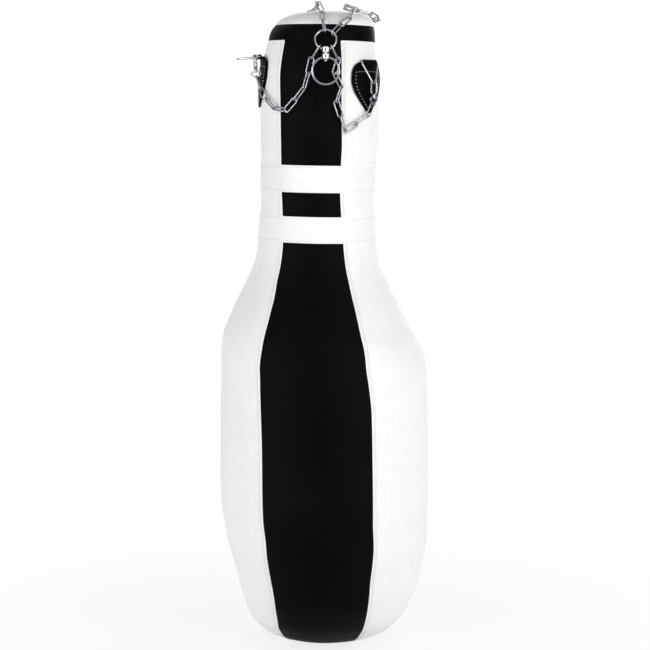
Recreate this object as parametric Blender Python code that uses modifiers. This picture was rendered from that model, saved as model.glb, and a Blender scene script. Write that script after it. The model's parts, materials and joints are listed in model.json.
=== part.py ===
"""Pin-shaped heavy bag with its four-chain hanger, standing on the floor.

Metres, +Z up. The bag's front (the black stripe) faces -Y and the origin is
the centre of the foot on the floor. Azimuths are in degrees from the front
towards +X. Run with: blender --background --python part.py
"""

import bisect
import math

import bmesh
import bpy
from mathutils import Matrix, Vector

# Bag: overall form
BAG_HEIGHT = 1.300          # foot to the top of the crown
FOOT_RADIUS = 0.095         # flat that the bag stands on
BELLY_RADIUS = 0.2188
BELLY_TOP_RADIUS = 0.2166
WAIST_RADIUS = 0.1184
NECK_RADIUS = 0.1250
BAND_LOW_RADIUS = 0.1102
BAND_HIGH_RADIUS = 0.1010
BELLY_LOW_SHARE = 0.25      # of the bag's height
BELLY_HIGH_SHARE = 0.496 / 1.3
CAP_RISE = 0.0265           # from the top band's upper edge to the crown
TOP_BAND_HEIGHT = 0.0320
NECK_DROP = 0.1700          # from the crown down to the neck's fullest height
WAIST_DROP = 0.3650
BELLY_LOW_Z = BELLY_LOW_SHARE * BAG_HEIGHT
BELLY_HIGH_Z = BELLY_HIGH_SHARE * BAG_HEIGHT
WAIST_Z = BAG_HEIGHT - WAIST_DROP
NECK_Z = BAG_HEIGHT - NECK_DROP
BAND_HIGH_Z = BAG_HEIGHT - CAP_RISE
BAND_LOW_Z = BAND_HIGH_Z - TOP_BAND_HEIGHT
LEAN = 0.001                # unit of the lean table below
TABLE_HEIGHT = 1.300        # height that the lean and stripe tables were drawn for

# Cover: layers and panels
COVER_THICKNESS = 0.0034
NECK_BAND_THICKNESS = 0.0013
NECK_BAND_LOW_DROP = 0.4080     # from the crown down to the lower band's upper edge
NECK_BAND_LOW_HEIGHT = 0.0560
NECK_BAND_HIGH_DROP = 0.3095
NECK_BAND_HIGH_HEIGHT = 0.0515
NECK_BAND_LOW = (BAG_HEIGHT - NECK_BAND_LOW_DROP - NECK_BAND_LOW_HEIGHT,
                 BAG_HEIGHT - NECK_BAND_LOW_DROP)
NECK_BAND_HIGH = (BAG_HEIGHT - NECK_BAND_HIGH_DROP - NECK_BAND_HIGH_HEIGHT,
                  BAG_HEIGHT - NECK_BAND_HIGH_DROP)
FOOT_DISC_THICKNESS = 0.0026
FOOT_DISC_EDGE = 0.0006     # how far the disc stays inside the foot's edge
FOOT_DISC_TAPER = 0.0006
TOP_BAND_PROUD = 0.0002     # the top band stands this far outside the outline
SEAM_GAP = 0.0003           # clearance between touching pieces
STRIPE_COLUMNS = 5
SIDE_COLUMNS = 23

# Hanging patches
PATCH_AZIMUTHS = {"front_right": 50.0, "front_left": -81.0,
                  "rear_right": 126.0, "rear_left": -157.0}
# From the crown down to each fold's middle; the raised ring draws its patch up
PATCH_DROPS = {"front_right": 0.1055, "front_left": 0.0935,
               "rear_right": 0.1055, "rear_left": 0.1055}
PATCH_UNDER_FOLD = 0.0012   # how far under the fold's middle the flap starts
PATCH_TIP_ROW = 0.0040      # least height of the flap's end rows
PATCH_TOP_ROW = 0.0120
PATCH_HEIGHT = 0.1010
PATCH_HALF_ANGLE = 20.5
PATCH_THICKNESS = 0.0030
PATCH_SEAT = 0.0006         # clearance under the patch
FOLD_RADIUS = 0.0050
FOLD_LENGTH = 0.0380
FOLD_STANDOFF = 0.0057
FOLD_LIFT = 0.0050          # the raised ring pulls its fold this far out
FOLD_EDGE = 0.0008          # chamfer at the fold's ends
BORE_OVERRUN = 0.0020       # how far the bore's cutter passes the fold's ends

# Delta rings
DELTA_WIRE = 0.0045
DELTA_WIDTH = 0.0530
DELTA_DEPTH = 0.0430
DELTA_CORNER = 0.0040
DELTA_NOSE = 0.0072
DELTA_PLAY = 0.0004         # between the wire and the fold's bore
DELTA_TILT = {"front_right": 16.0, "front_left": 84.0,
              "rear_right": 180.0, "rear_left": 180.0}

# Snap hooks
HOOK_WIRE = 0.0040
HOOK_LENGTH = 0.0460        # jaw wire to bow wire, centre to centre
HOOK_LOOP = 0.0280
HOOK_LOOP_WIDTH = 0.0136
HOOK_BARREL_RADIUS = 0.0036
HOOK_SEAT = 0.15            # where on its leg the raised ring holds its hook
BOW_WIRE = 0.0032
BOW_WIDTH = 0.0210
BOW_HEIGHT = 0.0120
BOW_CORNER = 0.0030
HOOK_BARREL_EDGE = 0.0009

# Chain links
LINK_WIRE = 0.0036
LINK_PITCH = 0.0302
LINK_WIDTH = 0.0140
LINK_PLAY = 0.0003
CHAIN_STANDOFF = 0.0084

# Gathering ring, swivel and ceiling ring
HANGER_X = 0.0030
HANGER_STANDOFF = 0.0210    # of the swivel's axis from the neck
HANGER_REACH = NECK_RADIUS + HANGER_STANDOFF
HANGER_DROP = 0.0820        # from the crown down to the wire inside the swivel
GATHER_RADIUS = 0.0212
GATHER_WIRE = 0.0042
GATHER_TILT = 25.0
GATHER_WIRE_Z = BAG_HEIGHT - HANGER_DROP
BARREL_RADIUS = 0.0081
BARREL_EDGE = 0.0022
NIPPLE_RADIUS = 0.0026      # turned end under the lower barrel
NIPPLE_LENGTH = 0.0022
EYE_OVERRUN = 0.0006        # how far the eyes' cutters pass the barrel
UPPER_BARREL_UP = 0.0056    # over and under the gathering ring's wire
UPPER_BARREL_DOWN = 0.0066
BARREL_GAP = 0.0012
LOWER_BARREL_HEIGHT = 0.0136
UPPER_BARREL = (GATHER_WIRE_Z - UPPER_BARREL_DOWN, GATHER_WIRE_Z + UPPER_BARREL_UP)
LOWER_BARREL = (UPPER_BARREL[0] - BARREL_GAP - LOWER_BARREL_HEIGHT,
                UPPER_BARREL[0] - BARREL_GAP)
CEILING_RADIUS = 0.0267
CEILING_WIRE = 0.0046
CEILING_WIRE_DOWN = 0.0074  # from the lower barrel's top to the ceiling ring's wire
CEILING_WIRE_Z = LOWER_BARREL[1] - CEILING_WIRE_DOWN
EYE_PLAY = 0.0005
PIN_RADIUS = 0.0025
PIN_HEAD_RADIUS = 0.0038
PIN_HEAD = 0.0012
PIN_PLAY = 0.0003
PIN_ROOT = 0.0016           # how far the pin is set into the upper barrel
PIN_NECK = 0.0012           # wall over the pin's head
PIN_MOUTH = 0.0010          # how far the bore's cutter passes the barrel's top

# Shape tables, as shares of each stretch of the outline (height, radius)
BELLY_CURVE = [(0, 0), (0.5, 0.35), (1, 1)]
FOOT_CURVE = [(0, 0), (0.009, 0.121), (0.025, 0.234), (0.049, 0.347), (0.086, 0.444),
              (0.129, 0.549), (0.203, 0.638), (0.283, 0.715), (0.443, 0.828),
              (0.683, 0.957), (1, 1)]
SHOULDER_CURVE = [(0, 0), (0.194, 0.031), (0.251, 0.061), (0.308, 0.127), (0.365, 0.239),
                  (0.421, 0.356), (0.481, 0.484), (0.538, 0.621), (0.595, 0.743),
                  (0.652, 0.855), (0.708, 0.911), (0.765, 0.947), (0.888, 0.988), (1, 1)]
NECK_CURVE = [(0, 0), (0.318, 0.40), (0.528, 0.83), (1, 1)]
CROWN_CURVE = [(0, 0), (0.27, 0.02), (0.49, 0.17), (0.64, 0.374), (0.753, 0.56), (1, 1)]
BAND_CURVE = [(0, 0), (0.45, 0.264), (0.89, 0.835), (1, 1)]
CAP_CURVE = [(0, 0), (0.057, 0.005), (0.245, 0.040), (0.396, 0.089), (0.547, 0.149),
             (0.698, 0.248), (0.849, 0.426), (0.962, 0.663), (1, 1)]
# Sideways shift of the stuffed form, by share of the height
LEAN_TABLE = [(0, 2), (0.017, 3), (0.051, 8), (0.091, 10), (0.132, 8), (0.171, 5), (0.217, 1),
              (0.316, 0), (0.427, -0.5), (0.466, -5), (0.505, -12), (0.582, -14),
              (0.640, -13), (0.719, -12.5), (0.767, -9), (0.798, -7.4), (0.892, -7.2),
              (0.924, -6), (0.955, -5), (0.971, -2), (0.988, 5), (1, 6)]
# Black stripe by share of the height: azimuth of its middle and half its width
STRIPE_TABLE = [(0, -5, 34.6), (0.05, -5.5, 32.3), (0.11, -6, 31.1), (0.185, -3.8, 31),
                (0.32, -4.4, 31.2), (0.385, -5, 31.5), (0.446, -6.3, 30.8),
                (0.50, -3.9, 30.3), (0.55, -3.4, 30.2), (0.592, -4.4, 31.2),
                (0.64, -5.2, 30.7), (0.69, -7.1, 31), (0.76, -9.6, 31.4),
                (0.86, -10.5, 30.8), (0.93, -11, 31.7), (1, -11, 32.2)]
# Patch outline from the fold down: share of the height, share of the half width
PATCH_OUTLINE = [(0, 0.60), (0.07, 0.84), (0.2, 0.97), (0.36, 1.0), (0.55, 0.87),
                 (0.75, 0.57), (0.9, 0.27), (1, 0.04)]

# Where each chain lies: azimuth, drop from the crown, standoff and share of the slack
ROUTES = {
    "front_left": [(-7.9, 0.1009, 0.0145, 0), (-10.3, 0.1267, 0.0097, 0),
                   (-13.6, 0.1553, 0.0084, 0), (-20.6, 0.1782, 0.0084, 0.3),
                   (-28.2, 0.2068, 0.0084, 0.9), (-39.3, 0.2146, 0.0074, 1),
                   (-53.0, 0.1887, 0.0089, 0.6), (-63.4, 0.1655, 0.0086, 0.1)],
    "front_right": [(14.7, 0.1019, 0.0145, 0), (11.6, 0.1328, 0.0087, 0),
                    (18.5, 0.1563, 0.0079, 0), (13.3, 0.1904, 0.0065, 0.2),
                    (17.8, 0.2187, 0.0069, 0.6), (21.7, 0.2545, 0.0084, 1),
                    (38.1, 0.2303, 0.0060, 1), (44.6, 0.2166, 0.0113, 0.4)],
}
# Over the crown: plan position, standoff, and sideways and upward share of slack
CROWN_ROUTES = {
    "rear_left": [(-0.004, -0.102, 0.0110, 0, 0), (-0.009, -0.077, 0.0065, 0, 0),
                  (-0.013, -0.053, 0.0090, 0.2, 0.3), (0.013, -0.001, 0.0075, 1, 0),
                  (0.007, 0.040, 0.0090, 1, 0), (-0.033, 0.077, 0.0075, 0.3, 0)],
    "rear_right": [(0.036, -0.096, 0.0110, 0, 0), (0.054, -0.073, 0.0110, 0, 0),
                   (0.056, -0.042, 0.0095, -0.5, 0), (0.054, -0.009, 0.0105, 1, 0),
                   (0.0741, 0.0260, 0.0080, 0.5, 0)],
}
LINK_COUNT = {"front_left": 9, "front_right": 9, "rear_left": 9, "rear_right": 9}
# Where on the gathering ring each chain starts, and the turn of its first link
RING_ANGLE = {"front_left": -127.0, "front_right": -54.0, "rear_left": 95.0,
              "rear_right": 42.0}
FIRST_TURN = {"front_left": -15.0, "front_right": 15.0, "rear_left": 14.0,
              "rear_right": -24.0}
# Roll of each link about its own length, 0 lying flat on the bag
ROLLS = {
    "front_left": [90, 22, -45, 69, 8, -61, 24, -52, 90],
    "front_right": [90, 20, 122, 52, -19, 91, 12, -44, 90],
    "rear_left": [90, -31, 57, -49, 58, -47, 51, -21, 90],
    "rear_right": [90, 18, -68, 30, -53, 28, -56, 34, 90],
}

BLACK = (0.010, 0.010, 0.012, 1.0)
WHITE = (0.80, 0.80, 0.77, 1.0)


class Curve:
    """Monotone cubic through (x, y) pairs."""

    def __init__(self, points):
        self.points = points
        runs = [(points[i][0], points[i + 1][0]) for i in range(len(points) - 1)]
        rises = [(points[i + 1][1] - points[i][1]) / (runs[i][1] - runs[i][0])
                 for i in range(len(runs))]
        self.slopes = [rises[0]]
        for before, after in zip(rises, rises[1:]):
            level = before * after <= 0
            self.slopes.append(0.0 if level else 2 * before * after / (before + after))
        self.slopes.append(rises[-1])

    def __call__(self, x):
        points = self.points
        if x <= points[0][0]:
            return points[0][1]
        if x >= points[-1][0]:
            return points[-1][1]
        i = bisect.bisect_right(points, (x, float("inf"))) - 1
        step = points[i + 1][0] - points[i][0]
        t = (x - points[i][0]) / step
        a, b = points[i][1], points[i + 1][1]
        return (a * (2 * t ** 3 - 3 * t ** 2 + 1) + b * (3 * t ** 2 - 2 * t ** 3)
                + step * (self.slopes[i] * (t ** 3 - 2 * t ** 2 + t)
                          + self.slopes[i + 1] * (t ** 3 - t ** 2)))


STRETCHES = [
    (0.0, BELLY_LOW_Z, FOOT_RADIUS, BELLY_RADIUS, FOOT_CURVE),
    (BELLY_LOW_Z, BELLY_HIGH_Z, BELLY_RADIUS, BELLY_TOP_RADIUS, BELLY_CURVE),
    (BELLY_HIGH_Z, WAIST_Z, BELLY_TOP_RADIUS, WAIST_RADIUS, SHOULDER_CURVE),
    (WAIST_Z, NECK_Z, WAIST_RADIUS, NECK_RADIUS, NECK_CURVE),
    (NECK_Z, BAND_LOW_Z, NECK_RADIUS, BAND_LOW_RADIUS, CROWN_CURVE),
    (BAND_LOW_Z, BAND_HIGH_Z, BAND_LOW_RADIUS, BAND_HIGH_RADIUS, BAND_CURVE),
    (BAND_HIGH_Z, BAG_HEIGHT, BAND_HIGH_RADIUS, 0.0, CAP_CURVE),
]


def outline_points():
    """The whole outline as (height, radius) pairs."""
    points = [(0.0, FOOT_RADIUS)]
    for low, high, first, last, curve in STRETCHES:
        for share, blend in curve[1:]:
            points.append((low + share * (high - low), first + blend * (last - first)))
    return points


OUTLINE = Curve(outline_points())
LEAN_CURVE = Curve(LEAN_TABLE)
STRIPE_MIDDLE = Curve([(row[0], row[1]) for row in STRIPE_TABLE])
STRIPE_HALF = Curve([(row[0], row[2]) for row in STRIPE_TABLE])
PATCH_HALF = Curve(PATCH_OUTLINE)


def bag_radius(z):
    return max(OUTLINE(z), 0.0)


def table_share(z):
    """Place of a height in the lean and stripe tables, which keep to the crown."""
    return 1.0 - (BAG_HEIGHT - z) / TABLE_HEIGHT


def bag_lean(z):
    return LEAN * LEAN_CURVE(table_share(z))


def outline_normal(z):
    """Outward normal of the outline as (radial, vertical)."""
    step = 0.0004
    low = max(z - step, 0.0)
    high = min(z + step, BAG_HEIGHT)
    slope = (bag_radius(high) - bag_radius(low)) / (high - low)
    size = math.hypot(1.0, slope)
    return 1.0 / size, -slope / size


CROWN_HEIGHT = Curve([(bag_radius(z), z) for z in
                      [BAG_HEIGHT - (BAG_HEIGHT - NECK_Z) * (i / 40) ** 2
                       for i in range(41)]])


def radial(azimuth):
    a = math.radians(azimuth)
    return Vector((math.sin(a), -math.cos(a), 0.0))


def tangent(azimuth):
    a = math.radians(azimuth)
    return Vector((math.cos(a), math.sin(a), 0.0))


def on_bag(azimuth, z, standoff=0.0):
    """Point at a distance from the bag's outline, and the normal there."""
    out, up = outline_normal(z)
    centre = Vector((bag_lean(z), 0.0, z + standoff * up))
    reach = bag_radius(z) + standoff * out
    normal = radial(azimuth) * out + Vector((0, 0, up))
    return centre + radial(azimuth) * reach, normal


def crown_height(reach):
    """Height at which the crown has this radius."""
    return CROWN_HEIGHT(reach)


def stripe_edges(z):
    share = table_share(z)
    return STRIPE_MIDDLE(share) - STRIPE_HALF(share), STRIPE_MIDDLE(share) + STRIPE_HALF(share)


def columns(z):
    """Azimuths around the bag, with the stripe's edges among them."""
    left, right = stripe_edges(z)
    angles = [left + (right - left) * i / STRIPE_COLUMNS for i in range(STRIPE_COLUMNS)]
    rest = 360.0 - (right - left)
    angles += [right + rest * i / SIDE_COLUMNS for i in range(SIDE_COLUMNS)]
    return angles


def between(low, high, shares):
    return [low + (high - low) * share for share in shares]


COVER_ROWS = (between(0, BELLY_LOW_Z, (0, 0.012, 0.03, 0.055, 0.09, 0.14, 0.21, 0.31,
                                       0.46, 0.7))
              + between(BELLY_LOW_Z, BELLY_HIGH_Z, (0, 0.5))
              + between(BELLY_HIGH_Z, NECK_BAND_LOW[0], (0, 0.18, 0.28, 0.37, 0.46, 0.55,
                                                         0.64, 0.73, 0.82, 0.91))
              + [NECK_BAND_LOW[0], NECK_BAND_LOW[1], NECK_BAND_HIGH[0]]
              + between(NECK_BAND_HIGH[1], NECK_Z, (0, 0.5))
              + between(NECK_Z, BAND_LOW_Z, (0, 0.35, 0.62, 0.82, 1)))
CAP_ROWS = between(BAND_HIGH_Z, BAG_HEIGHT, (0, 0.16, 0.36, 0.58, 0.78, 0.92, 0.985))


def new_object(name, mesh, collection, material):
    obj = bpy.data.objects.new(name, mesh)
    collection.objects.link(obj)
    if material is not None:
        mesh.materials.clear()
        mesh.materials.append(material)
    return obj


def make_material(name, colour, roughness, metallic=0.0):
    material = bpy.data.materials.new(name)
    material.use_nodes = True
    shader = material.node_tree.nodes["Principled BSDF"]
    shader.inputs["Base Color"].default_value = colour
    shader.inputs["Roughness"].default_value = roughness
    shader.inputs["Metallic"].default_value = metallic
    material.diffuse_color = colour
    return material


def skin_mesh(name, rows, strip, outer, inner, around):
    """Closed skin between two offsets of the bag's outline.

    strip(z) gives the azimuths of a row, and around says that they go full circle.
    """
    bm = bmesh.new()
    layers = []
    for offset in (outer, inner):
        grid = []
        for z in rows:
            depth = offset(z) if callable(offset) else offset
            grid.append([bm.verts.new(on_bag(a, z, depth)[0]) for a in strip(z)])
        layers.append(grid)
    count = len(layers[0][0])
    spans = count if around else count - 1
    for side, grid in enumerate(layers):
        for low, high in zip(grid, grid[1:]):
            for i in range(spans):
                j = (i + 1) % count
                # both layers split along the same diagonal
                quad = [low[i], low[j], high[j], high[i]]
                bm.faces.new(quad if side == 0 else [quad[0], quad[3], quad[2], quad[1]])
    for end, row in ((0, 0), (1, len(rows) - 1)):
        a = layers[0][row]
        b = layers[1][row]
        for i in range(spans):
            j = (i + 1) % count
            quad = [a[i], b[i], b[j], a[j]]
            bm.faces.new(quad if end == 0 else quad[::-1])
    if not around:
        for edge, i in ((0, 0), (1, count - 1)):
            for k in range(len(rows) - 1):
                quad = [layers[0][k][i], layers[0][k + 1][i],
                        layers[1][k + 1][i], layers[1][k][i]]
                bm.faces.new(quad if edge == 0 else quad[::-1])
    return finish_mesh(bm, name)


def finish_mesh(bm, name):
    bmesh.ops.recalc_face_normals(bm, faces=bm.faces)
    mesh = bpy.data.meshes.new(name)
    bm.to_mesh(mesh)
    bm.free()
    mesh.shade_smooth()
    mesh.set_sharp_from_angle(angle=math.radians(35))
    return mesh


def solid_of_rows(name, rows, offset, cap_thickness=None):
    """Filled form inside the outline: a flat foot, rows, and a point at the top."""
    bm = bmesh.new()
    grid = [[bm.verts.new(on_bag(a, z, offset)[0]) for a in columns(z)] for z in rows]
    count = len(grid[0])
    for low, high in zip(grid, grid[1:]):
        for i in range(count):
            j = (i + 1) % count
            bm.faces.new([low[i], low[j], high[j], high[i]])
    top = bm.verts.new(on_bag(0, BAG_HEIGHT, offset)[0])
    bm.faces.ensure_lookup_table()
    for i in range(count):
        bm.faces.new([grid[-1][i], grid[-1][(i + 1) % count], top])
    if cap_thickness is None:
        bm.faces.new(grid[0][::-1])
    else:
        inner = [[bm.verts.new(on_bag(a, z, offset - cap_thickness)[0]) for a in columns(z)]
                 for z in rows]
        for low, high in zip(inner, inner[1:]):
            for i in range(count):
                j = (i + 1) % count
                bm.faces.new([low[i], high[i], high[j], low[j]])
        under = bm.verts.new(on_bag(0, BAG_HEIGHT, offset - cap_thickness)[0])
        for i in range(count):
            j = (i + 1) % count
            bm.faces.new([inner[-1][j], inner[-1][i], under])
            bm.faces.new([grid[0][j], grid[0][i], inner[0][i], inner[0][j]])
    return finish_mesh(bm, name)


def foot_mesh():
    """Flat disc that closes the foot, its corners in line with the cover's."""
    bm = bmesh.new()
    centre = Vector((bag_lean(0), 0, 0))
    reach = FOOT_RADIUS - FOOT_DISC_EDGE
    rings = []
    for z, inset in ((0.0, 0.0), (FOOT_DISC_THICKNESS, FOOT_DISC_TAPER)):
        rings.append([bm.verts.new(centre + radial(a) * (reach - inset) + Vector((0, 0, z)))
                      for a in columns(0)])
    count = len(rings[0])
    for i in range(count):
        j = (i + 1) % count
        bm.faces.new([rings[0][i], rings[0][j], rings[1][j], rings[1][i]])
    bm.faces.new(rings[0][::-1])
    bm.faces.new(rings[1])
    return finish_mesh(bm, "foot_disc")


def tube_mesh(name, points, wire, sides, closed=True):
    """Bent wire as a mesh: a poly curve with a round section."""
    curve = bpy.data.curves.new(name, 'CURVE')
    curve.dimensions = '3D'
    curve.bevel_depth = wire / 2
    curve.bevel_resolution = (sides - 4) // 2
    curve.use_fill_caps = not closed
    spline = curve.splines.new('POLY')
    spline.points.add(len(points) - 1)
    for target, point in zip(spline.points, points):
        target.co = (point[0], point[1], point[2], 1.0)
    spline.use_cyclic_u = closed
    temp = bpy.data.objects.new(name, curve)
    bpy.context.scene.collection.objects.link(temp)
    bpy.context.view_layer.update()
    depsgraph = bpy.context.evaluated_depsgraph_get()
    mesh = bpy.data.meshes.new_from_object(temp.evaluated_get(depsgraph))
    bpy.data.objects.remove(temp)
    bpy.data.curves.remove(curve)
    bm = bmesh.new()
    bm.from_mesh(mesh)
    bmesh.ops.remove_doubles(bm, verts=bm.verts, dist=0.00001)
    bpy.data.meshes.remove(mesh)
    return finish_mesh(bm, name)


def turned_mesh(name, profile, steps):
    """Turned piece: a profile of (radius, height) pairs run round the Z axis."""
    mesh = bpy.data.meshes.new(name)
    mesh.from_pydata([(r, 0.0, z) for r, z in profile],
                     [(i, i + 1) for i in range(len(profile) - 1)], [])
    temp = bpy.data.objects.new(name, mesh)
    bpy.context.scene.collection.objects.link(temp)
    screw = temp.modifiers.new("turn", 'SCREW')
    screw.steps = steps
    screw.render_steps = steps
    screw.use_merge_vertices = True
    screw.merge_threshold = 0.00001
    bpy.context.view_layer.update()
    depsgraph = bpy.context.evaluated_depsgraph_get()
    result = bpy.data.meshes.new_from_object(temp.evaluated_get(depsgraph))
    bpy.data.objects.remove(temp)
    bm = bmesh.new()
    bm.from_mesh(result)
    bpy.data.meshes.remove(result)
    return finish_mesh(bm, name)


def add_boolean(obj, other, kind):
    modifier = obj.modifiers.new(kind.lower(), 'BOOLEAN')
    modifier.operation = kind
    modifier.solver = 'EXACT'
    modifier.object = other


def make_tool(name, mesh, matrix, tools):
    """Cutter or joined half that only shapes another piece."""
    obj = bpy.data.objects.new(name, mesh)
    tools.objects.link(obj)
    obj.matrix_world = matrix
    obj.hide_render = True
    obj.display_type = 'WIRE'
    return obj


def frame_matrix(origin, x_axis, y_axis, z_axis):
    rotation = Matrix((x_axis, y_axis, z_axis)).transposed()
    return Matrix.Translation(origin) @ rotation.to_4x4()


def arc(centre, radius, start, end, count):
    """Points in the XZ plane on an arc, both ends included."""
    points = []
    for i in range(count):
        a = math.radians(start + (end - start) * i / (count - 1))
        points.append(Vector((centre[0] + radius * math.cos(a), 0.0,
                              centre[1] + radius * math.sin(a))))
    return points


def link_mesh():
    """One long link, its length on Z and its width on X."""
    half_width = (LINK_WIDTH - LINK_WIRE) / 2
    flat = half_width * math.cos(math.radians(18))
    reach = (LINK_PITCH + LINK_PLAY + LINK_WIRE) / 2 - flat
    points = arc((0, reach), half_width, 0, 180, 6) + arc((0, -reach), half_width, 180, 360, 6)
    return tube_mesh("link", points, LINK_WIRE, 6)


def delta_lean():
    """Half the angle through which the delta ring's wire turns at its nose."""
    run = (DELTA_WIDTH - DELTA_WIRE) / 2 - DELTA_NOSE * 0.55
    return math.degrees(math.atan2(DELTA_DEPTH - DELTA_NOSE, run))


def delta_leg(share):
    """Point on the delta ring's straight leg, from its bar to its nose."""
    a = math.radians(90 - delta_lean())
    x = (DELTA_WIDTH - DELTA_WIRE) / 2 - DELTA_CORNER
    start = Vector((x + DELTA_CORNER * math.cos(a), DELTA_CORNER * (1 + math.sin(a))))
    end = Vector((DELTA_NOSE * math.cos(a),
                  DELTA_DEPTH - DELTA_NOSE + DELTA_NOSE * math.sin(a)))
    return start.lerp(end, share), (end - start).normalized()


def delta_mesh():
    """Delta ring: its bar on X through the origin, its nose at +Z."""
    half = (DELTA_WIDTH - DELTA_WIRE) / 2
    lean = delta_lean()
    corner = DELTA_CORNER
    points = []
    points += arc((half - corner, corner), corner, -90, 90 - lean, 4)
    points += arc((0, DELTA_DEPTH - DELTA_NOSE), DELTA_NOSE, 90 - lean, 90 + lean, 6)
    points += arc((-half + corner, corner), corner, 90 + lean, 270, 4)
    return tube_mesh("delta_ring", points, DELTA_WIRE, 8)


def hook_mesh(scene_collection):
    """Snap hook: jaw wire at the origin, swivel barrel, and a bow at +Z."""
    half = HOOK_LOOP_WIDTH / 2
    loop = (arc((0, half), half, 180, 360, 6)
            + arc((0, HOOK_LOOP - half), half, 0, 180, 6))
    jaw = tube_mesh("jaw", loop, HOOK_WIRE, 6)
    bar_z = HOOK_LENGTH - BOW_HEIGHT
    w = BOW_WIDTH / 2
    corner = BOW_CORNER
    bow_points = (arc((w - corner, bar_z + corner), corner, -90, 0, 3)
                  + arc((0, HOOK_LENGTH - w * 0.62), w * 0.62, 20, 160, 7)
                  + arc((-w + corner, bar_z + corner), corner, 180, 270, 3))
    bow_points = [Vector((0.0, p.x, p.z)) for p in bow_points]
    bow = tube_mesh("bow", bow_points, BOW_WIRE, 6)
    low = HOOK_LOOP - HOOK_WIRE * 0.3
    high = bar_z + BOW_WIRE * 0.35
    r = HOOK_BARREL_RADIUS
    edge = HOOK_BARREL_EDGE
    barrel = turned_mesh("barrel", [(0, high), (r * 0.75, high), (r, high - edge),
                                    (r, low + edge), (r * 0.75, low), (0, low)], 12)
    pieces = []
    for mesh in (jaw, barrel, bow):
        obj = bpy.data.objects.new(mesh.name, mesh)
        scene_collection.objects.link(obj)
        pieces.append(obj)
    add_boolean(pieces[0], pieces[1], 'UNION')
    add_boolean(pieces[0], pieces[2], 'UNION')
    bpy.context.view_layer.update()
    depsgraph = bpy.context.evaluated_depsgraph_get()
    mesh = bpy.data.meshes.new_from_object(pieces[0].evaluated_get(depsgraph))
    mesh.name = "snap_hook"
    for obj in pieces:
        bpy.data.objects.remove(obj)
    mesh.shade_smooth()
    mesh.set_sharp_from_angle(angle=math.radians(35))
    return mesh


def patch_top(corner):
    return BAG_HEIGHT - PATCH_DROPS[corner]


def patch_lift(corner, share):
    """How far the patch stands off its seat near the fold."""
    if corner != "front_left":
        return 0.0
    return FOLD_LIFT * max(0.0, 1.0 - share / 0.16) ** 1.5


def fold_frame(corner):
    """Centre of the fold with its along, outward and up directions."""
    azimuth = PATCH_AZIMUTHS[corner]
    standoff = FOLD_STANDOFF + (FOLD_LIFT if corner == "front_left" else 0.0)
    z = patch_top(corner)
    out = radial(azimuth)
    centre = Vector((bag_lean(z), 0, z)) + out * (bag_radius(z) + standoff)
    return centre, tangent(azimuth), out


def make_patch(corner, parts, tools, material):
    azimuth = PATCH_AZIMUTHS[corner]
    top = patch_top(corner) - PATCH_UNDER_FOLD
    rows = [top - PATCH_HEIGHT * share for share in (1, 0.93, 0.82, 0.5, 0.1, 0.05, 0)]
    rows = sorted(rows + [z for z in COVER_ROWS
                          if rows[0] + PATCH_TIP_ROW < z < top - PATCH_TOP_ROW])

    def strip(z):
        share = (top - z) / PATCH_HEIGHT
        half = PATCH_HALF_ANGLE * PATCH_HALF(share)
        return [azimuth - half + 2 * half * i / 6 for i in range(7)]

    def outer(z):
        share = (top - z) / PATCH_HEIGHT
        return PATCH_SEAT + PATCH_THICKNESS + patch_lift(corner, share)

    def inner(z):
        share = (top - z) / PATCH_HEIGHT
        return PATCH_SEAT + patch_lift(corner, share)

    mesh = skin_mesh("patch_" + corner, rows, strip, outer, inner, False)
    obj = new_object("patch_" + corner, mesh, parts, material)
    centre, along, out = fold_frame(corner)
    seat = frame_matrix(centre, out, along.cross(out), along)
    half = FOLD_LENGTH / 2
    r = FOLD_RADIUS
    edge = FOLD_EDGE
    roll = turned_mesh("fold", [(0, half), (r - edge, half), (r, half - edge),
                                (r, -half + edge), (r - edge, -half), (0, -half)], 16)
    bore_radius = DELTA_WIRE / 2 + DELTA_PLAY
    reach = half + BORE_OVERRUN
    bore = turned_mesh("fold_bore", [(0, reach), (bore_radius, reach),
                                     (bore_radius, -reach), (0, -reach)], 16)
    add_boolean(obj, make_tool("fold_" + corner, roll, seat, tools), 'UNION')
    add_boolean(obj, make_tool("bore_" + corner, bore, seat, tools), 'DIFFERENCE')
    return obj


def delta_frame(corner):
    """Bar centre, bar direction and the direction from bar to nose."""
    centre, along, out = fold_frame(corner)
    tilt = math.radians(DELTA_TILT[corner])
    down = Vector((0, 0, -1))
    reach = down * math.cos(tilt) + out * math.sin(tilt)
    return centre, along, out, reach


def hook_frame(corner):
    """Jaw wire centre, wire direction held, and the direction to the bow."""
    centre, along, out, reach = delta_frame(corner)
    gap = (DELTA_WIRE + HOOK_WIRE) / 2 + LINK_PLAY
    nose = centre + reach * DELTA_DEPTH
    if corner == "front_left":
        # hung on the ring's near leg, close to the bar
        seat, way = delta_leg(HOOK_SEAT)
        held = centre + along * seat.x + reach * seat.y
        leg = along * way.x + reach * way.y
        axis = (Vector((0, 0, -1)) - out * 0.10 - along * 0.02).normalized()
        jaw = held - axis * gap
        return jaw, leg, axis
    if corner == "front_right":
        axis = (Vector((0, 0, -1)) - out * 0.02).normalized()
    else:
        azimuth = PATCH_AZIMUTHS[corner]
        target, _ = on_bag(azimuth, BAND_HIGH_Z - 0.004, 0.0105)
        axis = (target - nose).normalized()
    jaw = nose - axis * gap
    return jaw, along, axis


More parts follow.
